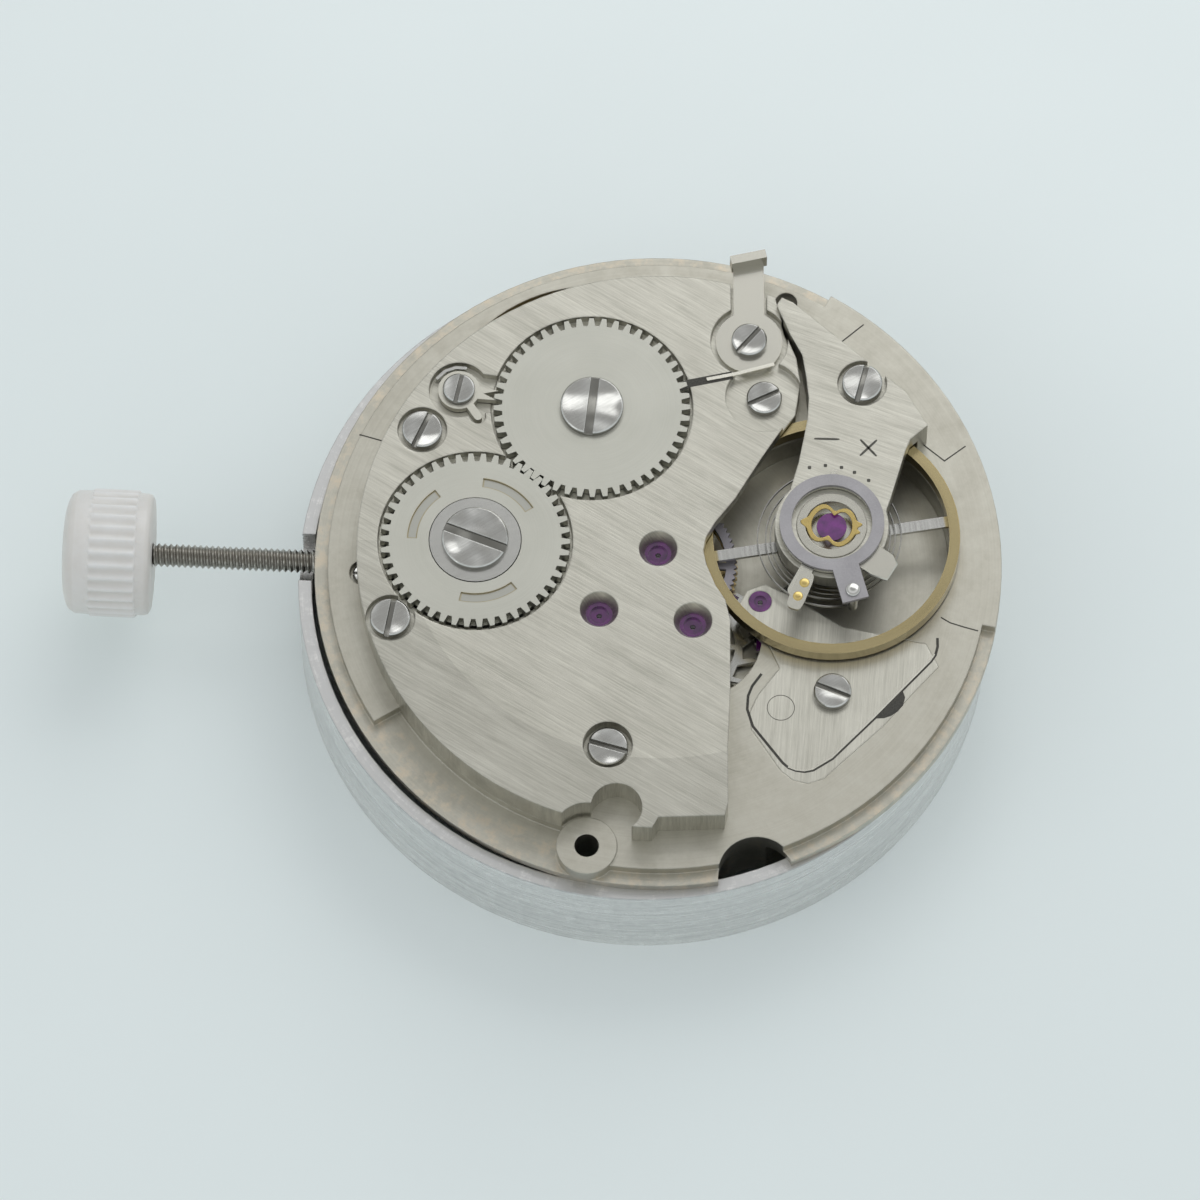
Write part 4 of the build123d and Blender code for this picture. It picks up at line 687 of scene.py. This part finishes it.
class MOVEMENT_OT_steel(bpy.types.Operator):
    """Screws, arbors, levers and the winding wheels"""
    bl_idname = "movement.steel"
    bl_label = "Steel pieces"

    def execute(self, context):
        """Dresses the steel pieces."""
        look = context.scene.movement_finish
        for node, tilt in (("bridge_screws", (45, 0)), ("cock_screw", (-35, 15)),
                           ("pallet_bridge_screw", (50, 10)), ("clamp_screws", (30, -5)),
                           ("click_screw", (60, 15)), ("ratchet_screw", (45, 10)),
                           ("crown_wheel_screw", (35, 20)), ("setting_lever_screw", (0, 0))):
            dress(screw_finish(node + "_steel", look.steel, screw_tops(node), tilt), node)
        dress(polished("arbor_steel", look.steel, 0.2, edge=0.0), "barrel_arbor",
              "crown_wheel_core", "winding_pinion", "sliding_pinion", "centre_pinion",
              "third_pinion", "fourth_pinion", "escape_pinion", "balance_staff",
              "setting_lever", "yoke", "setting_jumper", "cannon_pinion", "hairspring_stud",
              "pallet_fork", "escape_wheel", "setting_wheel", "click_spring", "curb_pins")
        dress(polished("clamp_steel", look.nickel, 0.24, radians(95), edge=0.0), "case_clamp")
        dress(satin_wheel("ratchet_satin", look.satin, centre_of("ratchet_wheel")),
              "ratchet_wheel")
        dress(satin_wheel("crown_wheel_satin", look.satin, centre_of("crown_wheel"),
                          kidneys=(60, 155, 285)), "crown_wheel")
        dress(satin_wheel("click_satin", look.nickel, centre_of("click"), 0.36), "click")
        dress(matt_steel("grey_steel", look.grey), "fourth_wheel")
        index_grey = tuple(part * gain for part, gain in zip(look.grey, (1.2, 1.22, 1.15)))
        dress(matt_steel("stud_ring_grey", index_grey), "stud_carrier")
        dress(polished("index_steel", look.nickel, 0.26), "regulator")
        return {"FINISHED"}


class MOVEMENT_OT_brass(bpy.types.Operator):
    """Brass wheels, barrel and the gilt balance"""
    bl_idname = "movement.brass"
    bl_label = "Brass pieces"

    def execute(self, context):
        """Dresses the brass pieces."""
        look = context.scene.movement_finish
        for node in ("barrel_drum", "barrel_cover", "centre_wheel", "third_wheel",
                     "minute_wheel", "hour_wheel"):
            dress(satin_wheel(node + "_brass", look.brass, centre_of(node), 0.32), node)
        dress(balance_gilt("gilt_brass", look.gilt, look.steel, centre_of("balance_wheel")),
              "balance_wheel")
        dress(polished("setting_brass", look.nickel, 0.22), "shock_blocks")
        dress(polished("roller_brass", look.brass, 0.25), "roller_table", "hairspring_collet")
        return {"FINISHED"}


class MOVEMENT_OT_jewels(bpy.types.Operator):
    """Ruby bearings and pallet stones"""
    bl_idname = "movement.jewels"
    bl_label = "Jewels"

    def execute(self, context):
        """Dresses the stones."""
        look = context.scene.movement_finish
        dress(ruby("ruby", look.ruby), "bridge_jewels", "plate_jewels", "pallet_stones",
              "impulse_jewel")
        pale = tuple(min(1.0, part * 1.3 + 0.01) for part in look.ruby)
        dress(ruby("pale_ruby", pale), "cap_jewels", "pallet_bridge_jewel")
        return {"FINISHED"}


class MOVEMENT_OT_stem(bpy.types.Operator):
    """The stem with its long cut thread, bearings, groove and square"""
    bl_idname = "movement.stem"
    bl_label = "Winding stem"

    def execute(self, context):
        """Radius over length and angle: a thread is a triangle wave of length less turn."""
        size, look = context.scene.movement_stem, context.scene.movement_finish
        around = 48
        outer_x, inner_x = STEM_BOX[0].x, STEM_BOX[1].x
        thread_end, groove_start, groove_end, square_start, pilot = (
            place * MM for place in (-12.75, -10.92, -10.58, -10.15, -6.83))
        rows = int((thread_end - outer_x) / size.thread_pitch * 10)
        x = np.linspace(outer_x, thread_end, rows)
        angle = np.linspace(0, 2 * pi, around, endpoint=False)
        phase = (x[:, None] / size.thread_pitch - angle / (2 * pi)) % 1.0
        wave = np.clip(np.abs(2 * phase - 1) * 1.25, 0, 1)
        fade = np.clip((thread_end - x) / size.thread_pitch, 0, 1)[:, None]
        thread = size.thread_radius - size.thread_depth * wave * fade
        plain_x = [thread_end, groove_start, groove_start, groove_end, groove_end, square_start]
        plain = np.repeat([size.bearing_radius, size.groove_radius, size.bearing_radius], 2)
        plain = np.repeat(plain[:, None], around, 1)
        flats = size.square_side / 2 / np.maximum(np.abs(np.cos(angle)), np.abs(np.sin(angle)))
        square = np.stack([flats, flats])
        tip = np.full((3, around), size.pilot_radius)
        tip[2] *= 0.8
        end_x = [square_start, pilot, pilot, inner_x - 0.04 * MM, inner_x]
        rings = round_stem(np.concatenate([x, plain_x, end_x]),
                           np.vstack([thread, plain, square, tip]))
        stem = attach(closed_mesh("threaded_stem", rings, crease=40.0), "stem")
        coated(stem, threaded_steel("stem_steel", look.steel))
        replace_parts(stem, "winding_stem")
        return {"FINISHED"}


class MOVEMENT_OT_crown(bpy.types.Operator):
    """The white crown with a domed cap, a fluted band and a plain collar"""
    bl_idname = "movement.crown"
    bl_label = "Crown"

    def execute(self, context):
        """Radius over length, less a rounded cosine flute inside the band."""
        size, look = context.scene.movement_crown, context.scene.movement_finish
        x0, x1 = CROWN_BOX[0].x, CROWN_BOX[1].x
        radius, bore = CROWN_BOX[1].y, 0.46 * MM
        angle = np.linspace(0, 2 * pi, size.flutes * 12, endpoint=False)
        face = np.linspace(0.12, 1, 10)
        bulge = np.sqrt(np.clip(1 - face ** 2.6, 0, 1))
        cap_x = x0 + 0.5 * MM * (1 - bulge)
        cap_r = radius * (0.30 + 0.66 * face)
        band_x0, band_x1 = x0 + size.cap_length, x1 - size.collar_length
        steps = [(band_x0 - 0.16 * MM, 0.965, 0), (band_x0 - 0.02 * MM, 0.97, 0),
                 (band_x0, 0.985, 0.35), (band_x0 + 0.07 * MM, 1.0, 1),
                 (band_x1 - 0.07 * MM, 1.0, 1), (band_x1, 0.985, 0.35),
                 (band_x1 + 0.04 * MM, 0.955, 0), (x1 - 0.22 * MM, 0.95, 0),
                 (x1 - 0.08 * MM, 0.93, 0), (x1, 0.87, 0)]
        place, part, fluted = np.array(steps).T
        x = np.concatenate([cap_x, place, [x1, x1 - size.bore_depth]])
        r = np.concatenate([cap_r, radius * part, [bore, bore]])
        depth = np.concatenate([0 * cap_x, fluted, [0, 0]])
        wave = np.abs(np.cos(angle * size.flutes / 2)) ** 1.4
        rings = round_stem(x, r[:, None] - depth[:, None] * size.flute_depth * wave)
        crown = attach(closed_mesh("fluted_crown", rings, crease=50.0), "stem")
        coated(crown, moulded_plastic("crown_plastic", look.plastic))
        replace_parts(crown, "crown")
        return {"FINISHED"}


class MOVEMENT_OT_springs(bpy.types.Operator):
    """The hairspring over the balance and the mainspring in its barrel"""
    bl_idname = "movement.springs"
    bl_label = "Wound springs"

    def execute(self, context):
        """Winds both ribbons from the same formula as their solids."""
        size, look = context.scene.movement_springs, context.scene.movement_finish
        material = polished("spring_alloy", scaled(look.steel, 0.62), 0.2, edge=0.0)
        hairspring = (size.hairspring_start, size.hairspring_pitch, 12, size.hairspring_step)
        mainspring = (size.mainspring_start, size.mainspring_pitch, 11,
                      size.mainspring_pitch / 2)
        for node, at, line, thickness, angle, body in (
                ("hairspring", BALANCE, hairspring, size.hairspring_thickness, -72, "stud"),
                ("mainspring", centre_of("barrel_drum"), mainspring, size.mainspring_thickness,
                 0, "barrel")):
            low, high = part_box(node)
            piece = ribbon(node + "_coil", at, spiral(*line), thickness, low.z, high.z,
                           radians(angle), body)
            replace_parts(coated(piece, material), node)
        return {"FINISHED"}


class MOVEMENT_OT_shock_springs(bpy.types.Operator):
    """The gilt lyre springs, the index's tail and pointer, the pin heads and the stud's screw"""
    bl_idname = "movement.shock_springs"
    bl_label = "Lyre springs"

    def execute(self, context):
        """Ring radii over the angle: two waisted sides, two ears and inward lobes."""
        look = context.scene.movement_finish
        gold = polished("gold", look.gold, 0.2)
        thickness = 0.07 * MM
        angle = np.linspace(0, 2 * pi, 240, endpoint=False)

        def bump(place, width):
            """One at a place on the round, fading away over a width, both in degrees."""
            away = (angle - radians(place) + pi) % (2 * pi) - pi
            return np.exp(-(away / radians(width)) ** 2)

        lobes = 0.34 * bump(80, 21) + 0.31 * bump(257, 21)
        ears = 0.24 * bump(175, 9) + 0.20 * bump(4, 6) + 0.16 * bump(-14, 5)
        outer = (0.94 - lobes + ears) * MM
        inner = (0.75 - lobes) * MM
        for name, z0 in (("upper_lyre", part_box("shock_blocks")[1].z - thickness / 2),
                         ("lower_lyre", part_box("shock_springs")[0].z)):
            lyre = flat_band(name, BALANCE, z0, z0 + thickness, inner, outer, 0.02 * MM, "base")
            coated(lyre, gold)
            if name == "upper_lyre":
                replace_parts(lyre, "shock_springs")
        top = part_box("regulator")[1].z
        tail = pad("index_tail", by_balance(-1.055, -2.75), (1.6, 0.62), 71, top - 0.1 * MM,
                   top + 0.03 * MM, "index")
        outline = ((0.9, -1.6), (1.7, -0.7), (2.35, -1.12), (2.51, -1.5), (2.14, -2.18),
                   (1.5, -2.0))
        pointer = bevelled("index_pointer", [by_balance(*place) for place in outline],
                           top - 0.11 * MM, top - 0.01 * MM, 0.05 * MM, "index")
        nickel = polished("index_nickel", look.nickel, 0.24, edge=0.0)
        for piece in (tail, pointer):
            coated(piece, nickel)
        for side, place in enumerate(((-0.92, -2.45), (-1.14, -3.0))):
            head = dome("curb_head_%d" % side, by_balance(*place), top + 0.03 * MM, 0.19 * MM,
                        0.03 * MM, "index")
            coated(head, gold)
        stud = dome("stud_head", centre_of("hairspring_stud"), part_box("hairspring_stud")[1].z,
                    0.27 * MM, 0.07 * MM, "stud")
        coated(stud, polished("stud_steel", look.steel, 0.12))
        return {"FINISHED"}


class MOVEMENT_OT_marks(bpy.types.Operator):
    """Plus, minus and the index dots on the balance cock"""
    bl_idname = "movement.marks"
    bl_label = "Cock marks"

    def execute(self, context):
        """Lays shallow dark strokes of painted shade on the cock's top, where the engraving would
        lie in shade.
        """
        look = context.scene.movement_finish
        # Painted shade: the engraved strokes are dark sheets laid just over the cock's top.
        material = shade_sheet("mark_painted_shade", scaled(look.nickel, 0.16))
        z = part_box("balance_cock")[1].z
        strokes = [("minus", (6.08, 4.65), (0.95, 0.09), 1),
                   ("plus_a", (7.64, 4.36), (0.92, 0.09), -46),
                   ("plus_b", (7.64, 4.36), (0.92, 0.09), 48)]
        strokes += [("dot_%d" % index, place, (0.13, 0.13), 0) for index, place in enumerate(
            ((5.48, 3.45), (6.07, 3.56), (6.67, 3.51), (7.16, 3.33), (7.70, 3.03)))]
        for name, place, size, angle in strokes:
            mark = pad("mark_" + name, scaled(place, MM), size, angle, z - 0.02 * MM,
                       z + 0.004 * MM, "base")
            coated(mark, material)
        return {"FINISHED"}


class MOVEMENT_OT_plate_lines(bpy.types.Operator):
    """Painted shade in grooves, gaps and a hole on the main plate, a painted highlight on the
    pallet bridge's edge, and the click's wire in its shaded slot on the bridge
    """
    bl_idname = "movement.plate_lines"
    bl_label = "Plate lines"

    def execute(self, context):
        """Lays thin mitred bands along the lines, just over the plate: dark ones of painted shade,
        and bright ones for a painted highlight and for the click's wire.
        """
        look = context.scene.movement_finish
        # Painted shade for the grooves, the gap by the pallet bridge, the hole, the plug's seam
        # and the click's slot. The brighter nickel is a painted highlight on the pallet bridge's
        # edge, and also the colour of the click wire.
        dark = shade_sheet("groove_painted_shade", scaled(look.nickel, 0.10))
        bright = polished("edge_highlight_and_wire_nickel", scaled(look.nickel, 1.5), 0.2, edge=0.0)
        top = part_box("pallet_bridge")[1].z
        grooves = (((6.50, 9.44), (7.28, 10.18)), ((9.67, 5.34), (10.51, 4.69), (11.28, 5.34)),
                   ((10.6, -1.7), (10.95, -1.9), (11.47, -2.05), (12.0, -2.18)),
                   ((-11.4, 4.73), (-10.53, 4.51)))
        for index, places in enumerate(grooves):
            self.lay(strip("plate_groove_%d" % index, places, 0.05, top, 0.004), dark)
        edge = np.array([(4.04, -4.30), (3.72, -4.8), (3.58, -5.21), (3.57, -5.75), (3.81, -6.43),
                         (4.97, -7.84), (5.2, -8.03), (5.48, -8.13), (5.8, -8.16), (6.11, -8.08),
                         (6.80, -7.59), (8.29, -5.90), (9.30, -4.69), (10.3, -3.5),
                         (10.45, -3.24), (10.52, -2.9), (10.50, -2.54)])
        # A dark band of painted shadow in the gap along the pallet bridge's edge.
        self.lay(strip("pallet_edge_gap", edge, 0.10, top, 0.003), dark)
        # A bright band of painted highlight along the pallet bridge's bevelled edge.
        edge_highlight_line = edge[6:15] + (-0.03, 0.04)
        self.lay(strip("pallet_edge", edge_highlight_line, 0.05, top, 0.006), bright)
        hole = np.array([(8.30, -5.90), (8.55, -5.60), (9.28, -4.69), (9.39, -5.00),
                         (9.33, -5.32), (9.13, -5.58), (8.9, -5.76), (8.64, -5.87)]) * MM
        self.lay(bevelled("plate_hole", hole, top - SUNK, top + 0.005 * MM, 0.001 * MM, "base"),
                 dark)
        ring = np.ones(96) * MM
        self.lay(flat_band("plug_line", (4.81 * MM, -5.63 * MM), top - SUNK,
                           top + 0.004 * MM, 0.49 * ring, 0.515 * ring, 0.001 * MM, "base"), dark)
        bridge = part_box("train_bridge")[1].z
        # A dark band of painted shade for the slot that holds the click wire.
        self.lay(strip("click_wire_slot", ((0.50, 6.62), (0.85, 6.80), (2.45, 7.22)), 0.32,
                       bridge, 0.004), dark)
        self.lay(strip("click_wire", ((1.5, 6.98), (2.52, 7.24), (3.99, 7.73)), 0.13,
                       bridge, 0.06), bright)
        return {"FINISHED"}

    def lay(self, piece, material):
        """Dresses one band."""
        coated(piece, material)


class MOVEMENT_OT_stage(bpy.types.Operator):
    """Pale table, soft lamps, even sky and the camera"""
    bl_idname = "movement.stage"
    bl_label = "Stage"

    def execute(self, context):
        """Builds the floor, the lights and the camera."""
        scene, stage = context.scene, context.scene.movement_stage
        floor_z = RING_BOX[0].z
        section = ((1.5, floor_z - 0.01), (1.5, floor_z), (0.05, floor_z))
        floor = closed_mesh("table_top", upright((0.0, 0.0), section, 64))
        look = Finish("table_white", stage.floor, 0.16, metallic=0.0)
        look.vary(look.noise(0.05, 3.0, 0.5), (0.985, 0.985, 0.985), (1.01, 1.01, 1.01), 0.2, 0.14)
        coated(floor, look.finish(0.0))
        self.sky(scene, stage)
        self.lamps(stage)
        self.camera(scene, stage)
        scene.view_settings.view_transform = "Standard"
        return {"FINISHED"}

    def sky(self, scene, stage):
        """Even light for matt surfaces, and the pale backdrop for the camera and for gloss."""
        world = bpy.data.worlds.new("pale_sky")
        scene.world = world
        world.use_nodes = True
        nodes = world.node_tree.nodes
        add, join = nodes.new, world.node_tree.links.new
        even = nodes["Background"]
        even.inputs["Color"].default_value = (0.94, 0.97, 1.0, 1.0)
        even.inputs["Strength"].default_value = stage.sky_strength
        shown = add("ShaderNodeBackground")
        facing = add("ShaderNodeVectorMath")
        facing.operation = "DOT_PRODUCT"
        ramp = add("ShaderNodeValToRGB")
        join(add("ShaderNodeTexCoord").outputs["Generated"], facing.inputs[0])
        facing.inputs[1].default_value = (0.0, cos(stage.elevation), sin(stage.elevation))
        join(facing.outputs["Value"], ramp.inputs["Fac"])
        join(ramp.outputs["Color"], shown.inputs["Color"])
        steps = ramp.color_ramp.elements
        steps[0].color = (0.82, 0.87, 0.89, 1.0)
        steps[1].color = (0.44, 0.44, 0.43, 1.0)
        for place, grey in ((0.55, 0.70), (0.80, 0.52), (0.90, 0.80), (0.955, 0.98),
                            (0.985, 0.52)):
            steps.new(place).color = (grey, grey * 1.01, grey * 1.01, 1.0)
        ray = add("ShaderNodeLightPath")
        seen = ray.outputs["Is Camera Ray"]
        for kind in ("Is Glossy Ray", "Is Transmission Ray"):
            most = add("ShaderNodeMath")
            most.operation = "MAXIMUM"
            join(seen, most.inputs[0])
            join(ray.outputs[kind], most.inputs[1])
            seen = most.outputs[0]
        mix = add("ShaderNodeMixShader")
        for socket, source in zip(mix.inputs, (seen, even.outputs[0], shown.outputs[0])):
            join(source, socket)
        join(mix.outputs[0], nodes["World Output"].inputs["Surface"])

    def lamps(self, stage):
        """Two soft square lamps: a key behind the movement and a weak fill from the left."""
        for name, place, side, power in (("key_lamp", (0.05, 0.17, 0.16), 0.18, 0.12),
                                         ("fill_lamp", (-0.2, -0.12, 0.14), 0.14, 0.03)):
            lamp = bpy.data.lights.new(name, "AREA")
            lamp.shape = "SQUARE"
            lamp.size = side
            lamp.energy = power * stage.lamp_strength
            holder = added(name, lamp)
            holder.location = place
            holder.rotation_mode = "QUATERNION"
            holder.rotation_quaternion = Vector(place).to_track_quat("Z", "Y")

    def camera(self, scene, stage):
        """Looks down on the hand axis from the photograph's side."""
        e, a = stage.elevation, stage.azimuth
        right = Vector((cos(a), -sin(a), 0))
        up = Vector((sin(e) * sin(a), sin(e) * cos(a), cos(e)))
        back = Vector((-cos(e) * sin(a), -cos(e) * cos(a), sin(e)))
        aim = -stage.shift_right * right - stage.shift_up * up
        data = bpy.data.cameras.new("table_camera")
        data.sensor_width = 36.0
        data.lens = 36.0 * stage.distance / stage.view_width
        data.clip_start, data.clip_end = 0.01, 10.0
        camera = added("table_camera", data)
        turned = Matrix((right, up, back)).transposed().to_4x4()
        camera.matrix_world = Matrix.Translation(aim + back * stage.distance) @ turned
        scene.camera = camera


class MOVEMENT_PT_panel(bpy.types.Panel):
    """Lists the steps that dress the movement"""
    bl_label = "Watch movement"
    bl_idname = "MOVEMENT_PT_panel"
    bl_space_type = "VIEW_3D"
    bl_region_type = "UI"
    bl_category = "Movement"

    def draw(self, context):
        """One button for each step."""
        for operator in OPERATORS:
            self.layout.operator(operator.bl_idname, text=operator.bl_label)


GROUPS = (("movement_stem", StemSizes), ("movement_crown", CrownSizes),
          ("movement_springs", SpringSizes), ("movement_finish", FinishColours),
          ("movement_stage", StageSettings))
OPERATORS = (MOVEMENT_OT_plates, MOVEMENT_OT_steel, MOVEMENT_OT_brass, MOVEMENT_OT_jewels,
             MOVEMENT_OT_stem, MOVEMENT_OT_crown, MOVEMENT_OT_springs,
             MOVEMENT_OT_shock_springs, MOVEMENT_OT_marks, MOVEMENT_OT_plate_lines,
             MOVEMENT_OT_stage)


def register():
    """Registers the property groups, the operators and the panel."""
    for name, group in GROUPS:
        bpy.utils.register_class(group)
        setattr(bpy.types.Scene, name, bpy.props.PointerProperty(type=group))
    for operator in OPERATORS:
        bpy.utils.register_class(operator)
    bpy.utils.register_class(MOVEMENT_PT_panel)


def unregister():
    """Takes the classes out again."""
    bpy.utils.unregister_class(MOVEMENT_PT_panel)
    for operator in reversed(OPERATORS):
        bpy.utils.unregister_class(operator)
    for name, group in reversed(GROUPS):
        delattr(bpy.types.Scene, name)
        bpy.utils.unregister_class(group)


def main():
    """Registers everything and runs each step."""
    register()
    bpy.ops.movement.plates()
    bpy.ops.movement.steel()
    bpy.ops.movement.brass()
    bpy.ops.movement.jewels()
    bpy.ops.movement.stem()
    bpy.ops.movement.crown()
    bpy.ops.movement.springs()
    bpy.ops.movement.shock_springs()
    bpy.ops.movement.marks()
    bpy.ops.movement.plate_lines()
    bpy.ops.movement.stage()


if __name__ == "__main__":
    main()
